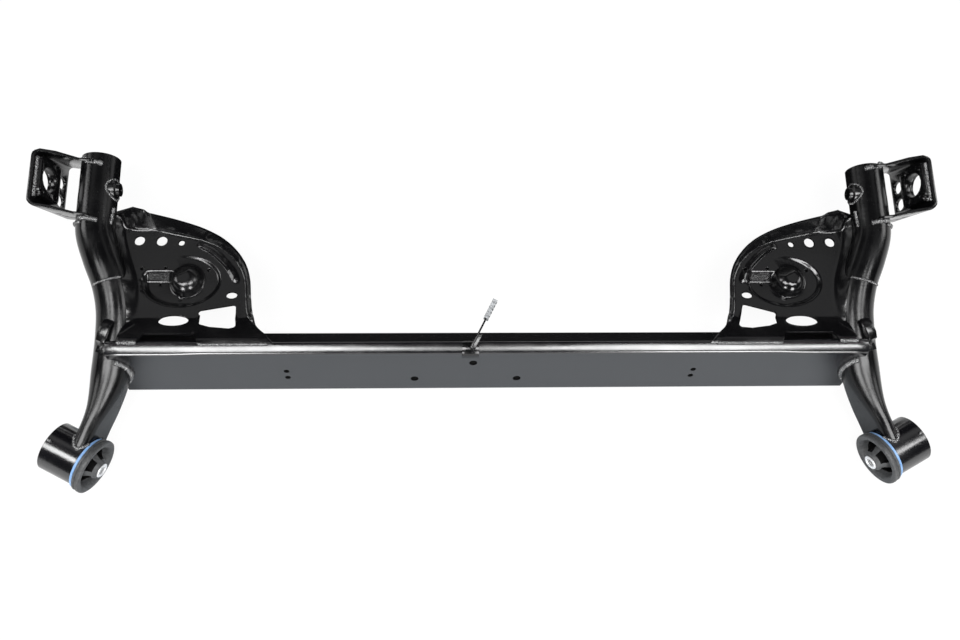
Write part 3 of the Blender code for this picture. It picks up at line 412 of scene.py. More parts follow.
def lathe(profile, matrix):
    """Turn a closed profile of (radius, along) round the matrix's Z, and merge the seam."""
    rings = []
    for k in range(ROUND_STEPS):
        a = 2 * math.pi * k / ROUND_STEPS
        rings.append([matrix @ Vector((r * math.cos(a), r * math.sin(a), z))
                      for r, z in profile])
    work = skin(rings + [rings[0]], close=False)
    bmesh.ops.remove_doubles(work, verts=work.verts, dist=1e-7)
    return work


def rod(diameter, length, matrix, sides):
    """A solid cylinder about the matrix's Z."""
    work = bmesh.new()
    bmesh.ops.create_cone(work, cap_ends=True, segments=sides, radius1=diameter / 2,
                          radius2=diameter / 2, depth=length, matrix=matrix)
    return work


def axis_matrix(origin, along, side):
    """A matrix with its Z along one direction and its X as near as can be to another."""
    z = Vector(along).normalized()
    y = z.cross(Vector(side)).normalized()
    turn = Matrix((y.cross(z), y, z)).transposed().to_4x4()
    turn.translation = Vector(origin)
    return turn


def catmull(points, steps):
    """A smooth curve through points, with so many steps between each two."""
    vectors = [Vector(point) for point in points]
    padded = [2 * vectors[0] - vectors[1]] + vectors + [2 * vectors[-1] - vectors[-2]]
    result = []
    for a, b, c, d in zip(padded, padded[1:], padded[2:], padded[3:]):
        for k in range(steps):
            t = k / steps
            result.append(0.5 * (2 * b + (c - a) * t + (2 * a - 5 * b + 4 * c - d) * t * t
                                 + (3 * b - 3 * c + d - a) * t ** 3))
    result.append(vectors[-1])
    return result


def ease(value, start, end):
    """Rise smoothly from 0 at start to 1 at end."""
    t = min(1.0, max(0.0, (value - start) / (end - start)))
    return t * t * (3 - 2 * t)


def rounded(corners, radius):
    """An outline with its corners rounded."""
    result = []
    for i, corner in enumerate(corners):
        here = Vector(corner)
        before = (Vector(corners[i - 1]) - here).normalized()
        after = (Vector(corners[(i + 1) % len(corners)]) - here).normalized()
        half = before.angle(after) / 2
        centre = here + (before + after).normalized() * radius / math.sin(half)
        start = here + before * radius / math.tan(half) - centre
        end = here + after * radius / math.tan(half) - centre
        for k in range(CORNER_STEPS + 1):
            spoke = start.lerp(end, k / CORNER_STEPS).normalized()
            result.append(tuple(centre + spoke * radius))
    return result


def ellipse(x, y, size_x, size_y):
    """Corners of an ellipse, for a middle and two diameters."""
    turns = [2 * math.pi * k / HOLE_STEPS for k in range(HOLE_STEPS)]
    return [(x + size_x / 2 * math.cos(a), y + size_y / 2 * math.sin(a)) for a in turns]


def node_copy(name):
    """A merged copy of a CAD node's mesh."""
    work = bmesh.new()
    work.from_mesh(frame["nodes"][name].data)
    bmesh.ops.remove_doubles(work, verts=work.verts, dist=1e-6)
    bmesh.ops.dissolve_limit(work, angle_limit=math.radians(0.5), verts=work.verts,
                             edges=work.edges)
    return work


def both_sides(make, name, *more):
    """Build a piece for the right side, and its mirror image for the left."""
    for side in ("right", "left"):
        place_mesh(f"{name}_{side}_finish", sided(make(), side), *more, (f"{name}_{side}",))


# Trailing arms

def arm_points(extra=0.0):
    """The arm's axis from the open rear end, some way further back if asked, to the bush."""
    end = Vector(ARM_AXIS[-1])
    run = end - Vector(ARM_AXIS[-2])
    run.z = 0.0
    run.normalize()
    across = Vector((-BUSH_AXIS.y, BUSH_AXIS.x, 0.0))
    target = end + run * ((BUSH_OUTER - end).dot(across) / run.dot(across))
    target.z = BUSH_OUTER.z
    points = catmull(ARM_AXIS + [tuple(target)], ARM_STEPS)
    points[0] = points[0] + Vector((0, extra, 0))
    return points


def arm_rings(points, offset):
    """Cross sections of the arm: round at the rear, and pinched to an upright slot at the bush."""
    rings = []
    for i, point in enumerate(points):
        before, after = points[max(i - 1, 0)], points[min(i + 1, len(points) - 1)]
        along = (after - before).normalized()
        side = along.cross(Vector((0, 0, 1))).normalized()
        up = side.cross(along)
        pinch = ease(-point.y, -PINCH_FROM_Y, -PINCH_TO_Y)
        width = ARM_OD + (PINCH_WIDTH - ARM_OD) * pinch + 2 * offset
        height = ARM_OD + (PINCH_HEIGHT - ARM_OD) * pinch + 2 * offset
        flat = (height - width) / 2
        ring = []
        for k in range(ARM_SIDES):
            a = 2 * math.pi * (k + 0.5) / ARM_SIDES
            rise = width / 2 * math.sin(a) + math.copysign(flat, math.sin(a))
            ring.append(point + side * (width / 2 * math.cos(a)) + up * rise)
        rings.append(ring)
    return rings


def bush_frame(along=0.0):
    """The bush's own axes, with Z inward from the sleeve's outer end."""
    return axis_matrix(BUSH_OUTER + BUSH_AXIS * along, BUSH_AXIS, (0, 0, 1))


def arm_length(first, last, back, extra=0.0):
    """A stretch of the arm as a tube, its last end drawn back for clearance."""
    points = arm_points(extra)
    skins = []
    for offset in (0, -ARM_WALL):
        rings = arm_rings(points, offset)[first:last]
        along = (points[last - 1] - points[last - 2]).normalized()
        rings[-1] = [spot - along * back for spot in rings[-1]]
        skins.append(rings)
    return skin(skins[0], skins[1])


def arm_rear(extra):
    """The straight rear length, as far as the weld ring."""
    return arm_length(0, ARM_WELD_INDEX * ARM_STEPS + 1, GAP, extra)


def arm_front():
    """The front length, cut to fit round the sleeve and clear of the collar."""
    work = arm_length(ARM_WELD_INDEX * ARM_STEPS, len(arm_points()), 0.0)
    sleeve = rod(SLEEVE_OD + 2 * GAP, 0.2, bush_frame(SLEEVE_LENGTH / 2), ROUND_STEPS)
    collar = rod(COLLAR_OD + 0.004, 0.04, bush_frame(SLEEVE_LENGTH + 0.018), ROUND_STEPS)
    return cut(work, [sleeve, collar])


for side in ("right", "left"):
    rear = sided(arm_rear(0.0 if side == "right" else ARM_REAR_EXTRA_LEFT), side)
    place_mesh(f"arm_rear_{side}_finish", rear, TUBE_COAT, "black_coat", (f"arm_rear_{side}",))
both_sides(arm_front, "arm_front", TUBE_COAT, "black_coat")


# Front bushes

def bush_sleeve():
    """A short steel tube with its edges broken."""
    r, bore, edge = SLEEVE_OD / 2, SLEEVE_OD / 2 - SLEEVE_WALL, 0.0006
    return lathe([
        (r, SLEEVE_LENGTH - edge), (r, edge), (r - edge, 0), (bore, 0), (bore, SLEEVE_LENGTH),
        (r - edge, SLEEVE_LENGTH)], bush_frame())


def bush_shell():
    """The shell inside the sleeve, with the collar that shows at its inner end."""
    r = SLEEVE_OD / 2 - SLEEVE_WALL - GAP
    near = SLEEVE_LENGTH + GAP
    far = near + COLLAR_WIDTH
    rim, edge = COLLAR_OD / 2, 0.0008
    return lathe([
        (rim - edge, far), (rim, far - edge), (rim, near + edge), (rim - edge, near), (r, near),
        (r, 0.001), (r - SHELL_WALL, 0.001), (r - SHELL_WALL, far)], bush_frame())


def bush_rubber():
    """Flange with a groove, a recess with four voids, and ribs that hold the inner sleeve."""
    start = FACE - FLANGE_WIDTH
    rim, body = FLANGE_OD / 2, SLEEVE_OD / 2 - SLEEVE_WALL - SHELL_WALL - 2 * GAP
    inner = INNER_OD / 2 + GAP
    work = lathe([
        (rim - 0.0018, FACE), (rim - 0.0005, FACE - 0.0008), (rim, FACE - 0.0025),
        (rim, FACE - 0.0052), (rim - 0.0005, FACE - 0.0062), (rim - 0.0016, FACE - 0.0068),
        (rim - 0.0018, FACE - 0.0078), (rim - 0.0008, FACE - 0.0086), (rim - 0.0006, start + 0.001),
        (rim - 0.0016, start), (body, start), (body, RUBBER_BACK), (inner, RUBBER_BACK),
        (inner, FACE + 0.0082), (inner + 0.0006, FACE + 0.0082), (inner + 0.0030, FACE + 0.0050),
        (inner + 0.0065, FACE - 0.0020), (inner + 0.0115, FACE - 0.0085),
        (body - 0.0060, FACE - 0.0120), (body - 0.0022, FACE - 0.0112),
        (body - 0.0006, FACE - 0.0088), (body + 0.0004, FACE - 0.0040),
        (rim - 0.0078, FACE - 0.0012), (rim - 0.0062, FACE - 0.0004), (rim - 0.0050, FACE - 0.0003),
    ], bush_frame())
    cutters = []
    for turn, half in VOIDS:
        steps = [math.radians(turn - half + 2 * half * k / 20) for k in range(21)]
        outline = [(r * math.cos(a), r * math.sin(a)) for r, turns in (
            (VOID_OUTER_R, steps), (VOID_INNER_R, steps[::-1])) for a in turns]
        rings = [[bush_frame(z) @ Vector((x, y, 0)) for x, y in outline] for z in (-0.05, 0.15)]
        cutters.append(skin(rings))
    work = cut(work, cutters)
    # Faces on the voids' walls, deep in the rubber, get the second material: painted shade.
    to_frame = bush_frame().inverted()
    for face in work.faces:
        spot = to_frame @ face.calc_center_median()
        in_ring = VOID_INNER_R - 0.0001 < spot.xy.length < VOID_OUTER_R + 0.0001
        if in_ring and RUBBER_BACK + 0.002 < spot.z < FACE - 0.008:
            face.material_index = 1
    return work


def bush_inner():
    """The thick steel sleeve that the bolt goes through."""
    r, bore = INNER_OD / 2, INNER_BORE / 2
    far = FACE + INNER_PROUD
    return lathe([
        (r - 0.0006, far), (r, far - 0.0006), (r, -INNER_BACK + 0.0006), (r - 0.0006, -INNER_BACK),
        (bore + 0.0006, -INNER_BACK), (bore, -INNER_BACK + 0.0006), (bore, far - 0.0008),
        (bore + 0.0008, far)], bush_frame())


both_sides(bush_sleeve, "bush_sleeve", BEAM_COAT, "black_coat")
both_sides(bush_shell, "bush_shell", BLUE, "blue_shell")
both_sides(bush_rubber, "bush_rubber", RUBBER, "rubber")
both_sides(bush_inner, "bush_inner_sleeve", STEEL, "bare_steel")
# Second material of each rubber piece: painted shade on the voids' walls.
for side in ("right", "left"):
    bpy.data.objects[f"bush_rubber_{side}_finish"].data.materials.append(VOID_PAINTED_SHADE)


# Spring pans

PAN_EDGE = [
    (0.5200, 0.1680), (0.4890, 0.1595), (0.4530, 0.1500), (0.4155, 0.1370), (0.3840, 0.1190),
    (0.3610, 0.0940), (0.3500, 0.0680), (0.3465, 0.0380), (0.3430, 0.0140), (0.3345, -0.0050),
    (0.3200, -0.0190),
]
PAN_FRONT = [
    (0.307, -0.034), (0.412, -0.034), (0.4175, -0.017), (0.4875, -0.017), (0.4965, -0.030),
    (0.521, -0.030), (0.521, -0.016),
]
PAN_HOLES = [
    (0.513, 0.1295, 0.0150, 0.0150), (0.481, 0.129, 0.0155, 0.0155),
    (0.4525, 0.126, 0.0088, 0.0088), (0.3735, 0.043, 0.0155, 0.0100),
]
PAN_EYE = {"left": (0.4510, 0.0040, 0.0420, 0.0165), "right": (0.4480, 0.0020, 0.0470, 0.0175)}
PAN_WINDOW = {
    "left": [(0.4185, 0.0190), (0.3665, 0.0285), (0.3635, -0.0065), (0.3720, -0.0090),
             (0.4000, -0.0062), (0.4150, -0.0015)],
    "right": [(0.4130, 0.0155), (0.3655, 0.0290), (0.3530, -0.0078), (0.3720, -0.0098),
              (0.3980, -0.0062), (0.4110, -0.0015)],
}
PAN_DRAINS = [(0.504, 0.0846, 0.0042), (0.470, 0.0856, 0.0040), (0.410, 0.0836, 0.0044),
              (0.4783, 0.063, 0.0036)]
DRAIN_DEPTH, DRAIN_FLOOR, DRAIN_LIP = 0.0055, 0.32, 0.56
PAN_TAB_X, PAN_TAB_HALF, PAN_TAB_RISE = 0.5090, 0.0165, 0.0090
PAN_RIM_Z, PAN_RIM_RUN, RIM_BEND = 0.091, 0.0068, 0.35
PAN_FOOT_Y, PAN_TUBE_SIDE, PAN_WINDOW_R = (0.018, -0.019), (0.487, 0.150), 0.004
RIM_WIDER = [(0.006, 0.385, 0.475), (0.013, 0.475, 0.53)]
TUBE_EDGE_Y, TUBE_EDGE_RUN, TUBE_EDGE_STEPS = 0.002, 0.166, 64
FLANGE_INSET, FLANGE_LIFT, FLANGE_TOP, FLANGE_RUN = 0.020, 0.015, 0.019, 0.018
DOME_R, DOME_RISE, DOME_POWER, DOME_FOOT = 0.0235, 0.0150, 3.2, (0.0035, 0.0025)
FACET_ALONG, FACET_OFFSET, FACET_SLOPE, FACET_TOP = Vector((0.45, 0.89)), 0.006, 0.75, 0.96
SEAT_A, SEAT_B, SEAT_DEPTH, SEAT_WALL, SEAT_TURN_DEG = 0.0565, 0.0410, 0.0115, 0.0065, 300.0
SEAT_SHIFT = Vector((0.0065, -0.001))
DIMPLE, DIMPLE_DEPTH, DIMPLE_EDGE = Vector((0.008, -0.027)), 0.0016, (0.0004, 0.0030)
STOP_RUN = 0.0145
POLAR_RINGS, POLAR_SPOKES, POLAR_START, POLAR_STEP = 34, 120, 0.0030, 0.0017
POLAR_DENSE_FROM, POLAR_APART, GRID_APART = 0.010, 0.0010, 0.0019
GRID_X, GRID_Y, GRID_STEP_X, GRID_STEP_Y = 0.300, -0.036, 0.0030, 0.0026
GRID_ROWS, GRID_COLUMNS = 82, 88
BEAD_RISE, BEAD_EDGE, BEAD_FADE = 0.0030, (0.0008, 0.0052), 0.10
BEAD = [(0.4297, 0.1235), (0.4120, 0.1150), (0.3965, 0.1020), (0.3830, 0.0880),
        (0.3735, 0.0740), (0.3685, 0.0620)]


def pan_level(y):
    """Height of the pan's plain surface, with its fold eased over a few millimetres."""
    low = PAN_FOLD_Z - PAN_SLOPE * (y - PAN_FOLD_Y)
    high = PAN_FOLD_Z + PAN_RISE_SLOPE * (PAN_FOLD_Y - y)
    blend = ease(-y, -PAN_FOLD_Y - 0.003, -PAN_FOLD_Y + 0.003)
    return min(BEAM_CROWN_Z + GAP + PAN_T, low + (high - low) * blend)


def along_path(path, spot):
    """Distance from a spot to a path, and how far along the path it is, from 0 to 1."""
    best = (1.0, 0.0)
    for i, (a, b) in enumerate(zip(path, path[1:])):
        run = b - a
        t = min(1.0, max(0.0, (spot - a).dot(run) / run.length_squared))
        distance = (spot - a - run * t).length
        if distance < best[0]:
            best = (distance, (i + t) / (len(path) - 1))
    return best


BEAD_PATH = [point.xy for point in catmull([(x, y, 0) for x, y in BEAD], 6)]


def pan_relief(spot, right):
    """Height of the dome, the helical seat, its dimple and the rib above the plain surface."""
    arm = spot - SEAT
    if right:
        arm.x = -arm.x
    reach = arm.length
    after = (-math.degrees(math.atan2(arm.y, arm.x))) % 360.0
    depth = SEAT_DEPTH * max(0.0, 1 - after / SEAT_TURN_DEG)
    if arm.x > 0 and 0 <= arm.y < STOP_RUN:
        depth = SEAT_DEPTH * (1 - min(1.0, arm.y / STOP_RUN))
    offset = arm - SEAT_SHIFT
    outward = max(offset.length, 1e-6)
    seat_edge = outward / math.sqrt((offset.x / SEAT_A) ** 2 + (offset.y / SEAT_B) ** 2 + 1e-12)
    rise = -depth * (1 - ease(outward, seat_edge - SEAT_WALL, seat_edge))
    crown = DOME_RISE * (1 - min(1.0, reach / DOME_R) ** DOME_POWER)
    facet = arm.dot(FACET_ALONG) - FACET_OFFSET
    crown = min(crown, DOME_RISE * FACET_TOP - FACET_SLOPE * max(0.0, facet))
    foot = ease(reach, DOME_R - DOME_FOOT[0], DOME_R + DOME_FOOT[1])
    rise = max(crown, 0.0) * (1 - foot) + rise * foot
    rise -= DIMPLE_DEPTH * (1 - ease((arm - DIMPLE).length, *DIMPLE_EDGE))
    for x, y, size in PAN_DRAINS:
        away = (arm + SEAT - Vector((x, y))).length
        rise -= DRAIN_DEPTH * (1 - ease(away, size * DRAIN_FLOOR, size * DRAIN_LIP))
    distance, share = along_path(BEAD_PATH, spot)
    ends = ease(share, 0.0, BEAD_FADE) * (1 - ease(share, 1 - BEAD_FADE, 1.0))
    return rise + BEAD_RISE * (1 - ease(distance, *BEAD_EDGE)) * ends


def arm_x_z(y):
    """Where the arm's axis passes a Y."""
    points = arm_points()
    for a, b in zip(points, points[1:]):
        if b.y <= y <= a.y:
            t = (a.y - y) / (a.y - b.y)
            return a.x + (b.x - a.x) * t, a.z + (b.z - a.z) * t
    return points[0].x, points[0].z


def pan_rim():
    """The rim once round: place, height and how far inside it the flange is bent up."""
    rim = []
    for point in catmull([(x, y, 0) for x, y in PAN_EDGE], 14):
        tab = ease(1 - abs(point.x - PAN_TAB_X) / PAN_TAB_HALF, 0.0, 0.5)
        height = max(pan_level(point.y) + 0.0005, PAN_RIM_Z + PAN_TAB_RISE * tab)
        foot = ease(-point.y, -PAN_FOOT_Y[0], -PAN_FOOT_Y[1])
        height += (pan_level(point.y) - height) * foot
        wider = sum(more * ease(point.x, low, high) for more, low, high in RIM_WIDER)
        rim.append((point.xy, height, PAN_RIM_RUN + wider))
    for a, b in zip(PAN_FRONT, PAN_FRONT[1:]):
        count = max(1, round((Vector(b) - Vector(a)).length / 0.003))
        for k in range(count):
            spot = Vector(a).lerp(Vector(b), k / count)
            rim.append((spot, pan_level(spot.y), 0.0))
    for k in range(TUBE_EDGE_STEPS + 1):
        y = TUBE_EDGE_Y + TUBE_EDGE_RUN * k / TUBE_EDGE_STEPS
        x, z = arm_x_z(y)
        height = min(pan_level(y) + FLANGE_LIFT, z + FLANGE_TOP)
        rim.append((Vector((x - FLANGE_INSET, y)), height, FLANGE_RUN))
    return rim


def plan_tree(spots):
    """A tree to find the nearest of many spots in plan."""
    tree = KDTree(len(spots))
    for i, spot in enumerate(spots):
        tree.insert((spot.x, spot.y, 0.0), i)
    tree.balance()
    return tree


def near_rim(rim, tree, spot):
    """Distance from a spot to the rim, and the rim's lift above the plain surface and run there."""
    index = tree.find((spot.x, spot.y, 0.0))[1]
    best = (1.0, 0.0, 0.0)
    for a, b in ((index - 1, index), (index, (index + 1) % len(rim))):
        start, end = rim[a], rim[b]
        run = end[0] - start[0]
        t = min(1.0, max(0.0, (spot - start[0]).dot(run) / run.length_squared))
        there = start[0] + run * t
        distance = (spot - there).length
        if distance < best[0]:
            height = start[1] + (end[1] - start[1]) * t
            best = (distance, height - pan_level(there.y), start[2] + (end[2] - start[2]) * t)
    return best


def pan_height(rim, tree, spot, right):
    """Height of the finished pan at a place in plan."""
    distance, lift, run = near_rim(rim, tree, spot)
    height = pan_level(spot.y) + pan_relief(spot, right)
    if distance < run:
        t = 1 - distance / run
        bent = t * t / (2 * RIM_BEND) if t < RIM_BEND else t - RIM_BEND / 2
        height += lift * bent / (1 - RIM_BEND / 2)
    return height


def pan_places(rim, loops, right):
    """Places in plan for the pan's vertices: loops, rows along the rim, the seat and a grid."""
    taken = [spot for loop in loops for spot in loop]
    for i, (spot, height, run) in enumerate(rim):
        if run and height - pan_level(spot.y) > 0.0004:
            edge = rim[(i + 1) % len(rim)][0] - rim[i - 1][0]
            inward = Vector((edge.y, -edge.x)).normalized()
            if inward.dot(SEAT - spot) < 0:
                inward = -inward
            taken += [spot + inward * run * k / 6 for k in range(1, 8)]
    for x, y, size in PAN_DRAINS:
        middle = Vector((2 * SEAT.x - x if right else x, y))
        for ring in range(5):
            for k in range(12):
                a = 2 * math.pi * (k + 0.5 * (ring % 2)) / 12
                reach = 0.2 + 0.11 * ring
                taken.append(middle + Vector((math.cos(a), math.sin(a))) * size * reach)
    polar = []
    for ring in range(POLAR_RINGS):
        reach = POLAR_START + POLAR_STEP * ring
        for k in range(0, POLAR_SPOKES, 1 if reach > POLAR_DENSE_FROM else 3):
            a = 2 * math.pi * (k + 0.5 * (ring % 2)) / POLAR_SPOKES
            polar.append(SEAT + Vector((math.cos(a), math.sin(a))) * reach)
    grid = [Vector((GRID_X + GRID_STEP_X * (i + 0.5 * (j % 2)), GRID_Y + GRID_STEP_Y * j))
            for j in range(GRID_ROWS) for i in range(GRID_COLUMNS)]
    for group, apart in ((polar, POLAR_APART), (grid, GRID_APART)):
        tree = plan_tree(taken)
        taken += [spot for spot in group if tree.find((spot.x, spot.y, 0.0))[2] > apart]
    return taken


def pan_piece(side):
    """Lay a fine mesh over the pan's outline with its holes, lift it and give it a wall."""
    right = side == "right"
    rim = pan_rim()
    tree = plan_tree([spot for spot, _, _ in rim])
    holes = [ellipse(*hole) for hole in PAN_HOLES + [PAN_EYE[side]]]
    holes.append(rounded(PAN_WINDOW[side], PAN_WINDOW_R))
    loops = [[spot for spot, _, _ in rim]] + [[Vector(spot) for spot in hole] for hole in holes]
    rings = []
    start = 0
    for loop in loops:
        rings.append(list(range(start, start + len(loop))))
        start += len(loop)
    places, _, faces, _, _, within = delaunay_2d_cdt(
        pan_places(rim, loops, right), [], rings, 1, 1e-6)
    work = bmesh.new()
    verts = [work.verts.new((p.x, p.y, pan_height(rim, tree, Vector(p), right))) for p in places]
    for face, owners in zip(faces, within):
        if list(owners) == [0]:
            work.faces.new([verts[i] for i in face])
    bmesh.ops.delete(work, geom=[v for v in work.verts if not v.link_faces], context="VERTS")
    bent = []
    for vert in work.verts:
        distance, _, run = near_rim(rim, tree, vert.co.xy)
        by_tube = vert.co.x > PAN_TUBE_SIDE[0] and vert.co.y < PAN_TUBE_SIDE[1]
        if not vert.is_boundary and not by_tube and distance < run + 0.004:
            bent.append(vert)
    for _ in range(6):
        bmesh.ops.smooth_vert(work, verts=bent, factor=0.5, use_axis_z=True)
    if sum(face.normal.z for face in work.faces) < 0:
        bmesh.ops.reverse_faces(work, faces=work.faces)
    obj = to_object("pan_skin", work, False)
    wall = obj.modifiers.new("wall", "SOLIDIFY")
    wall.thickness = PAN_T
    wall.offset = -1.0
    work = sided(bevelled(take(obj), 0.0005, 55), side)
    place_mesh(f"spring_pan_{side}_finish", work, PAN_COAT, "black_coat", (f"spring_pan_{side}",),
               40.0)


for side in ("right", "left"):
    pan_piece(side)


# Cross beam, with finer rings than its solid, close to each bend so that the flanks shade flat

BEAM_END_TOP, BEAM_END_BOTTOM = 0.5385, 0.5290
FLARE_X, FLARE_RUN, END_CROWN_R = 0.400, 0.055, 0.0150
CROWN_FLAT, CROWN_FLARE, CROWN_BEND, CROWN_DOME_R = 0.0052, 0.0018, 0.0056, 0.030
CROWN_TILT, TILT_FROM_Z, TILT_TO_Z = 0.15, 0.070, 0.090
BEAM_HOLES = [
    (-0.296, 0.052, 0.0080), (-0.296, 0.068, 0.0080), (0.2925, 0.0520, 0.0080),
    (0.2920, 0.068, 0.0080), (-0.030, 0.033, 0.0115), (-0.114, 0.073, 0.0115),
    (0.035, 0.073, 0.0115),
]
HOLE_DEPTH, BEAM_FIT_X = 0.0030, (0.459, 0.52)
END_BEAD_LIFT, END_BEAD_Z = 0.001, 0.014


def arm_solid():
    """The arm's outer form, to cut the beam's ends with."""
    points = arm_points()
    return skin(arm_rings([points[0] + Vector((0, 0.06, 0))] + points, GAP))


def section_half(crown_r):
    """Half the width of the V at its open edge, for a crown radius."""
    flank = BEAM_CROWN_Z - crown_r * (1 - math.cos(FLANK)) - BEAM_BOTTOM_Z
    return crown_r * math.sin(FLANK) + flank / math.tan(FLANK)


def end_outline():
    """Half of the V's outline at its end, with room for a bead: (offset from the crown line, Z)."""
    narrow = section_half(CROWN_R) / section_half(END_CROWN_R)
    r, top = END_CROWN_R + END_BEAD_LIFT, BEAM_CROWN_Z + END_BEAD_LIFT
    turns = [FLANK * k / BEND_STEPS for k in range(BEND_STEPS + 1)]
    arc = [(r * math.sin(turn), top - r + r * math.cos(turn)) for turn in turns]
    y, z = arc[-1]
    arc.append((y + (z - END_BEAD_Z) / math.tan(FLANK), END_BEAD_Z))
    return [(y * narrow, z) for y, z in arc]


def beam_wall(flat, inset):
    """Half of one face of the V: its nearly flat crown, the bend, and the flank to the edge."""
    r, top = CROWN_BEND - inset, BEAM_CROWN_Z - inset
    start = flat / CROWN_DOME_R
    half = [(flat * k / 4, top - (flat * k / 4) ** 2 / 2 / CROWN_DOME_R) for k in range(4)]
    for k in range(BEND_STEPS + 1):
        turn = start + (FLANK - start) * k / BEND_STEPS
        half.append((flat + r * (math.sin(turn) - math.sin(start)),
                     top - flat * start / 2 - r * (math.cos(start) - math.cos(turn))))
    y, z = half[-1]
    for height in (z - 0.0012, BEAM_BOTTOM_Z + 0.0015, BEAM_BOTTOM_Z):
        half.append((y + (z - height) / math.tan(FLANK), height))
    return half


def beam_ring(x, flare, slant):
    """The V's closed outline at one place, its crown tilted forward and its end slanted."""
    flat = CROWN_FLAT + CROWN_FLARE * flare
    outer, inner = beam_wall(flat, 0.0), beam_wall(flat, BEAM_WALL)
    narrow = section_half(CROWN_R) / outer[-1][0]
    outline = [(y, z) for y, z in reversed(outer)] + [(-y, z) for y, z in outer[1:]]
    outline += [(-y, z) for y, z in reversed(inner)] + [(y, z) for y, z in inner[1:]]
    lean = slant * (BEAM_END_TOP - BEAM_END_BOTTOM) / (BEAM_CROWN_Z - BEAM_BOTTOM_Z)
    return [(x - lean * (BEAM_CROWN_Z - z), BEAM_CROWN_Y + y * narrow,
             z - (CROWN_FLAT - y) * CROWN_TILT * ease(z, TILT_FROM_Z, TILT_TO_Z))
            for y, z in outline]


def beam_piece():
    """The V from end to end, fitted to the arms, with blind holes in its front flank, in painted shade
    inside.
    """
    half = [beam_ring(x, 0, 0) for x in (0.0, 0.15, 0.30, FLARE_X - 0.005, FLARE_X)]
    half += [beam_ring(FLARE_X + FLARE_RUN * k / 8, ease(k / 8, 0.0, 1.0), 0)
             for k in range(1, 9)]
    half += [beam_ring(BEAM_FIT_X[0], 1, 0), beam_ring(BEAM_FIT_X[1], 1, 1),
             beam_ring(BEAM_END_TOP, 1, 1)]
    mirror = [[(-x, y, z) for x, y, z in ring] for ring in half[:0:-1]]
    tools = [arm_solid(), mirrored(arm_solid())]
    spots = []
    foot = section_half(CROWN_R)
    narrow = foot / beam_wall(CROWN_FLAT, 0.0)[-1][0]
    outward = Vector((0, -math.sin(FLANK), math.cos(FLANK)))
    for x, depth, size in BEAM_HOLES:
        run = depth - CROWN_R * FLANK
        height = BEAM_CROWN_Z - CROWN_R * (1 - math.cos(FLANK)) - run * math.sin(FLANK)
        reach = foot - (height - BEAM_BOTTOM_Z) * narrow / math.tan(FLANK)
        spot = Vector((x, BEAM_CROWN_Y - reach, height))
        tools.append(rod(size, 2 * HOLE_DEPTH, axis_matrix(spot, outward, (1, 0, 0)), 32))
        spots.append((spot, size))
    work = cut(bevelled(skin(mirror + half), 0.0006, 50), tools)
    # The blind holes' walls and floors get the second material: painted shade, so that they read dark.
    for face in work.faces:
        for spot, size in spots:
            away = face.calc_center_median() - spot
            depth = -away.dot(outward)
            in_hole = (away + outward * depth).length < size / 2 + GAP
            if in_hole and HOLE_DEPTH / 5 < depth < HOLE_DEPTH * 2:
                face.material_index = 1
    piece = place_mesh("cross_beam_finish", moved(work), BEAM_COAT, "black_coat", ("cross_beam",))
    piece.data.materials.append(HOLE_PAINTED_SHADE)


beam_piece()


# Pieces whose solids already have the right form: merged, with their edges rounded

STRIP_START, STRIP_TURN = Vector((-0.0345, -0.0574, 0.0)), math.radians(27.0)
TAB_LENGTH, TAB_RAKE = 0.024, 0.10
EDGE_ROUNDS = [(f"{name}_{side}", width) for name, width in (
    ("hub_bracket", 0.0007), ("hub_plate", 0.0005), ("shock_boss", 0.0004),
    ("cable_hook", 0.0004)) for side in ("right", "left")]
EDGE_ROUNDS += [("guide_foot", 0.0003), ("guide_strip", 0.0003), ("guide_clip", 0.0002)]


def foot_tab():
    """The foot's upright tab beside the strip, with its lip folded outward and down."""
    along = Vector((math.sin(STRIP_TURN), math.cos(STRIP_TURN), 0.0))
    across = Vector((along.y, -along.x, 0.0))
    outline = [(0.0011, 0.0985), (0.0011, 0.1102), (0.0062, 0.1088), (0.0062, 0.1072),
               (0.0025, 0.1082), (0.0025, 0.0985)]
    rings = []
    for far in (0.0, TAB_LENGTH):
        lift = TAB_RAKE * far
        rings.append([STRIP_START + along * far + across * a
                      + Vector((0, 0, z + (lift if z > 0.1 else 0))) for a, z in outline])
    return to_object("foot_tab", skin(rings))


for name, width in EDGE_ROUNDS:
    shape = node_copy(name)
    if name == "guide_foot":
        absorb(shape, foot_tab())
    shape = bevelled(shape, width, 40)
    material, slot = PLATE_COAT, "black_coat"
    if name == "guide_clip":
        material, slot = CLIP, "clip_plastic"
    place_mesh(f"{name}_finish", shape, material, slot, (name,), 35.0, False)


# Welds: rippled beads that follow the joints

BEAD_FLATNESS = 0.62


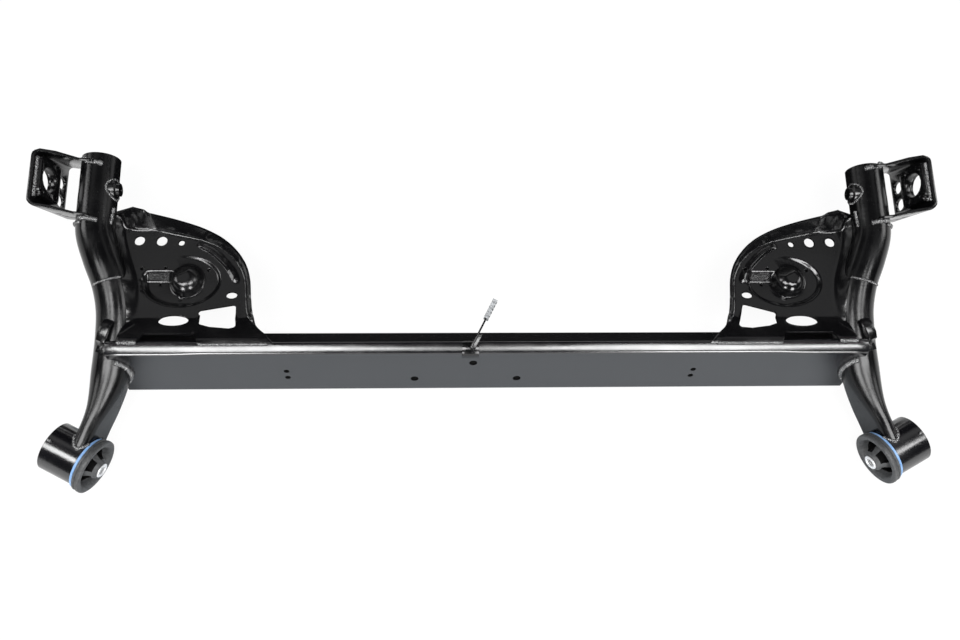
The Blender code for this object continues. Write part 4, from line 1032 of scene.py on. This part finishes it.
def bead_tree():
    """A tree that turns a line of edges into a bead of overlapping flattened drops."""
    tree = bpy.data.node_groups.new("weld_bead", "GeometryNodeTree")
    sockets = tree.interface
    sockets.new_socket("Geometry", in_out="INPUT", socket_type="NodeSocketGeometry")
    for name in ("Pitch", "Bead Radius", "Unevenness"):
        sockets.new_socket(name, in_out="INPUT", socket_type="NodeSocketFloat")
    sockets.new_socket("Seed", in_out="INPUT", socket_type="NodeSocketInt")
    sockets.new_socket("Geometry", in_out="OUTPUT", socket_type="NodeSocketGeometry")
    given = tree.nodes.new("NodeGroupInput").outputs
    line = add(tree, "GeometryNodeMeshToCurve", None, {"Mesh": given["Geometry"]})
    dots = add(tree, "GeometryNodeCurveToPoints", {"mode": "LENGTH"}, {
        "Curve": line.outputs["Curve"], "Length": given["Pitch"]})
    drop = add(tree, "GeometryNodeMeshIcoSphere", None, {
        "Radius": given["Bead Radius"], "Subdivisions": 2})
    smooth = add(tree, "GeometryNodeSetShadeSmooth", None, {"Geometry": drop.outputs["Mesh"]})
    size = add(tree, "FunctionNodeRandomValue", {"data_type": "FLOAT"}, {"Seed": given["Seed"]})
    for socket, kind in ((2, "SUBTRACT"), (3, "ADD")):
        edge = add(tree, "ShaderNodeMath", {"operation": kind}, {0: 1.0, 1: given["Unevenness"]})
        fill(tree, size, {socket: edge.outputs[0]})
    flat = add(tree, "ShaderNodeCombineXYZ", None, {
        "X": size.outputs[1], "Y": size.outputs[1], "Z": BEAD_FLATNESS})
    bead = add(tree, "GeometryNodeInstanceOnPoints", None, {
        "Points": dots.outputs["Points"], "Instance": smooth.outputs["Geometry"],
        "Rotation": dots.outputs["Rotation"], "Scale": flat.outputs["Vector"]})
    real = add(tree, "GeometryNodeRealizeInstances", None, {"Geometry": bead.outputs[0]})
    painted = add(tree, "GeometryNodeSetMaterial", None, {
        "Geometry": real.outputs[0], "Material": WELD})
    add(tree, "NodeGroupOutput", None, {"Geometry": painted.outputs[0]})
    return tree


BEAD_TREE = bead_tree()
WELD_LINES = []


def weld(points, radius, pitch=0.5, uneven=0.22):
    """Note a weld line on the right side, and its mirror image, for the bead tree."""
    line = [Vector(point) + SHIFT for point in points]
    WELD_LINES.append((line, radius, pitch, uneven))
    WELD_LINES.append(([Vector((-p.x, p.y, p.z)) for p in line], radius, pitch, uneven))


def make_welds():
    """Grow the beads on every line, and join them to one piece."""
    joined = bmesh.new()
    for i, (line, radius, pitch, uneven) in enumerate(WELD_LINES):
        mesh = bpy.data.meshes.new(f"weld_line_{i}")
        mesh.from_pydata(line, [(k, k + 1) for k in range(len(line) - 1)], [])
        obj = new_object(f"weld_line_{i}", mesh)
        modifier = obj.modifiers.new("bead", "NODES")
        modifier.node_group = BEAD_TREE
        values = {"Pitch": radius * pitch, "Bead Radius": radius, "Unevenness": uneven,
                  "Seed": i + 3}
        for item in BEAD_TREE.interface.items_tree:
            if item.in_out == "INPUT" and item.name in values:
                modifier[item.identifier] = values[item.name]
        absorb(joined, obj)
    place_mesh("weld_beads", joined, WELD, "black_coat", (), 60.0, False)


ARM_TREE = BVHTree.FromBMesh(skin(arm_rings(arm_points(), 0.0)))
BRACKET_SKEW, BRACKET_TOP_Z = 0.17, 0.1275
BOSS_Y, BOSS_Z, BOSS_WELD_R = 0.199, 0.089, 0.0148


def on_arm(y, z, from_x):
    """Where a ray outward from a spot inboard of the arm meets the arm's surface."""
    return ARM_TREE.ray_cast(Vector((from_x, y, z)), Vector((1, 0, 0)))[0]


def straight(start, end, count):
    """Points on a straight line, its ends with it."""
    return [[a + (b - a) * k / count for a, b in zip(start, end)] for k in range(count + 1)]


def around_tube(y, first_deg, last_deg):
    """Points round the straight rear of the tube, along the bracket's slanted edge."""
    result = []
    for k in range(25):
        a = math.radians(first_deg + (last_deg - first_deg) * k / 24)
        x = ARM_X + ARM_OD / 2 * math.cos(a)
        result.append((x, y + BRACKET_SKEW * (x - ARM_X), ARM_Z + ARM_OD / 2 * math.sin(a)))
    return result


def from_bush_axis(spot):
    """Distance from a spot to the bush's axis."""
    away = spot - BUSH_OUTER
    return (away - BUSH_AXIS * away.dot(BUSH_AXIS)).length


# Beam to arm, down both flanks
for flank in (1, -1):
    profile = end_outline()
    beam_line = []
    for near, far in zip(profile, profile[1:]):
        count = max(1, round(abs(near[1] - far[1]) / 0.004))
        for offset, height in straight(near, far, count)[:-1]:
            spot = on_arm(BEAM_CROWN_Y + flank * offset, height, 0.45)
            if spot:
                beam_line.append(spot)
    weld(beam_line, 0.0042)

# Bracket flanges to tube
for y, first, last in ((0.2340, 62, 112), (0.1475, 60, 112)):
    weld(around_tube(y, first, last), 0.0036)
for y, first, last in ((0.2395, -40, 62), (0.1410, -45, 60)):
    weld(around_tube(y, first, last), 0.0024)

# Rear to front length of the tube
weld(arm_rings(arm_points(), 0.0003)[ARM_WELD_INDEX * ARM_STEPS][9:29], 0.0017, 0.6, 0.4)

# Shock absorber boss to tube
boss_ring = []
for k in range(33):
    a = 2 * math.pi * k / 32
    spot = on_arm(BOSS_Y + BOSS_WELD_R * math.cos(a), BOSS_Z + BOSS_WELD_R * math.sin(a), 0.53)
    if spot:
        boss_ring.append(spot)
weld(boss_ring, 0.0018, 0.6, 0.4)

# Hub plate to web, along the plate's top edge
PLATE_DROP, PLATE_BEAD_R, WEB_T, WEB_LEAN = 0.0045, 0.0028, 0.0045, math.tan(math.radians(8.0))
plate_x = CAD_BOX[1][0] - WEB_LEAN * PLATE_DROP - WEB_T - PLATE_BEAD_R
plate_z = BRACKET_TOP_Z - PLATE_DROP + 0.0012
weld(straight((plate_x, 0.176, plate_z), (plate_x, 0.234, plate_z), 12), PLATE_BEAD_R)

# Pan to crown, heel to crown and pan to tube
crown_top = BEAM_CROWN_Z + GAP + PAN_T
tongue_z, heel_z = crown_top - 0.0012, crown_top - 0.001
weld(straight((0.318, -0.0335, tongue_z), (0.410, -0.0335, tongue_z), 12), 0.0022)
weld(straight((0.497, -0.0305, heel_z), (0.521, -0.0305, heel_z), 6), 0.0030)
weld(straight((0.547, 0.146, 0.0925), (0.544, 0.168, 0.0945), 5), 0.0026)

# Drop of weld on the sleeve's outer end
weld([(0.6100, -0.1600, 0.0750), (0.6070, -0.1616, 0.0750)], 0.0021)

# Arm to bush sleeve, round the pinched end: where the arm's surface comes nearest to the sleeve
SLEEVE_WELD_R = SLEEVE_OD / 2 + 0.0015
rings = arm_rings(arm_points(), 0.0)
for ring_from, ring_to in ((4, 34), (38, 68)):
    sleeve_line = []
    for k in range(ring_from, ring_to):
        for near, far in zip(rings[-1:-30:-1], rings[-2:-31:-1]):
            near_r, far_r = from_bush_axis(near[k]), from_bush_axis(far[k])
            if near_r <= SLEEVE_WELD_R < far_r:
                share = (SLEEVE_WELD_R - near_r) / (far_r - near_r)
                sleeve_line.append(near[k].lerp(far[k], share))
                break
    weld(sleeve_line, 0.0026)

make_welds()


# Light, floor and camera

def softbox(name, place, size, aim, power):
    """A rectangular area light, turned to a spot."""
    lamp = bpy.data.lights.new(name, "AREA")
    lamp.shape = "RECTANGLE"
    lamp.size, lamp.size_y = size
    lamp.energy = power
    obj = new_object(name, lamp)
    obj.location = place
    obj.rotation_euler = (Vector(aim) - Vector(place)).to_track_quat("-Z", "Y").to_euler()


for side, lean in (("left", -1), ("right", 1)):
    softbox(f"top_{side}_softbox", (0.74 * lean, -0.38, 1.8), (0.78, 0.92), (0.7 * lean, -0.35, 0), 25)
    softbox(f"bush_{side}_softbox", (1.48 * lean, -0.25, 1.8), (0.35, 0.7), (1.4 * lean, -0.2, 0), 8)
    softbox(f"far_{side}_softbox", (2.9 * lean, 0.85, 1.8), (1.0, 1.2), (0.5 * lean, 0.1, 0), 18)
    softbox(f"rear_{side}_softbox", (1.1 * lean, 1.2, 1.8), (0.9, 0.8), (1.0 * lean, 1.0, 0), 0.8)
    softbox(f"front_{side}_softbox", (1.2 * lean, -2.3, 1.1), (0.8, 1.1), (0.3 * lean, 0, 0.05), 36)
softbox("top_middle_softbox", (0.0, -0.45, 1.9), (0.6, 0.6), (0.0, -0.4, 0.0), 3)

def two_looks(owner, output, plain, white, most):
    """One look for the light, and white, up to a share, for the camera, gloss and glass."""
    owner.use_nodes = True
    tree = owner.node_tree
    tree.nodes.clear()
    ray = add(tree, "ShaderNodeLightPath").outputs
    share = ray["Is Camera Ray"]
    for kind in ("Is Glossy Ray", "Is Transmission Ray"):
        share = add(tree, "ShaderNodeMath", {"operation": "MAXIMUM"}, {
            0: share, 1: ray[kind]}).outputs[0]
    share = add(tree, "ShaderNodeMath", {"operation": "MULTIPLY"}, {0: share, 1: most})
    looks = [add(tree, kind, None, inputs).outputs[0] for kind, inputs in (plain, white)]
    blend = add(tree, "ShaderNodeMixShader", None, {
        0: share.outputs[0], 1: looks[0], 2: looks[1]})
    add(tree, output, None, {"Surface": blend.outputs[0]})


world = bpy.data.worlds.new("studio")
bpy.context.scene.world = world
two_looks(world, "ShaderNodeOutputWorld",
          ("ShaderNodeBackground", {"Color": linear("E6E8EA"), "Strength": 0.12}),
          ("ShaderNodeBackground", {"Color": (1, 1, 1, 1), "Strength": 1.0}), 1.0)


def stage_piece(name, corners, faces, *materials):
    """A mesh that is part of the studio and not of the axle."""
    mesh = bpy.data.meshes.new(name)
    mesh.from_pydata(corners, [], faces)
    for material in materials:
        mesh.materials.append(material)
    obj = new_object(name, mesh)
    return obj


# Black studio cards, painted dark reflections: seen only in the paint's gloss, which looks grey
# without them.
# One hangs overhead with its rim folded down, and one lies behind the beam between the pans.
# A grey one lies in front of the beam, and tones the flank's painted reflection down.
cards = stage_piece("studio_cards", [
    (-4.5, -3.5, 2.3), (4.5, -3.5, 2.3), (4.5, 3.5, 2.3), (-4.5, 3.5, 2.3),
    (-4.8, -3.8, 0.9), (4.8, -3.8, 0.9), (4.8, 3.8, 0.9), (-4.8, 3.8, 0.9),
    (-0.6, -0.04, 0.0005), (0.6, -0.04, 0.0005), (0.6, 0.4, 0.0005), (-0.6, 0.4, 0.0005),
    (-0.6, -0.35, 0.0005), (0.6, -0.35, 0.0005), (0.6, -0.10, 0.0005), (-0.6, -0.10, 0.0005),
], [(0, 1, 2, 3), (0, 1, 5, 4), (1, 2, 6, 5), (2, 3, 7, 6), (3, 0, 4, 7), (8, 9, 10, 11),
    (12, 13, 14, 15)],
    even_matt("black_card", "1A1A1B", 1.0, 0.0), even_matt("grey_card", "A8ACB0", 1.0, 0.0))
cards.data.polygons[6].material_index = 1
cards.visible_camera = cards.visible_diffuse = cards.visible_shadow = False

floor_material = bpy.data.materials.new("white_floor")
two_looks(floor_material, "ShaderNodeOutputMaterial",
          ("ShaderNodeBsdfDiffuse", {"Color": linear("F2F2F2")}),
          ("ShaderNodeEmission", {"Color": (1, 1, 1, 1), "Strength": 1.0}), 0.93)
stage_piece("floor", [(-8, -8, -0.0005), (8, -8, -0.0005), (8, 8, -0.0005), (-8, 8, -0.0005)],
            [(0, 1, 2, 3)], floor_material)

camera_data = bpy.data.cameras.new("camera")
camera_data.sensor_width = 36.0
camera_data.lens = 33.75
camera_data.clip_start = 0.01
camera = new_object("camera", camera_data)
camera.location = Vector((-0.0866, -0.3222, 1.3266)) + SHIFT
camera.rotation_euler = (0.2576, -0.0496, -0.0151)
bpy.context.scene.camera = camera
bpy.context.scene.view_settings.view_transform = "Standard"
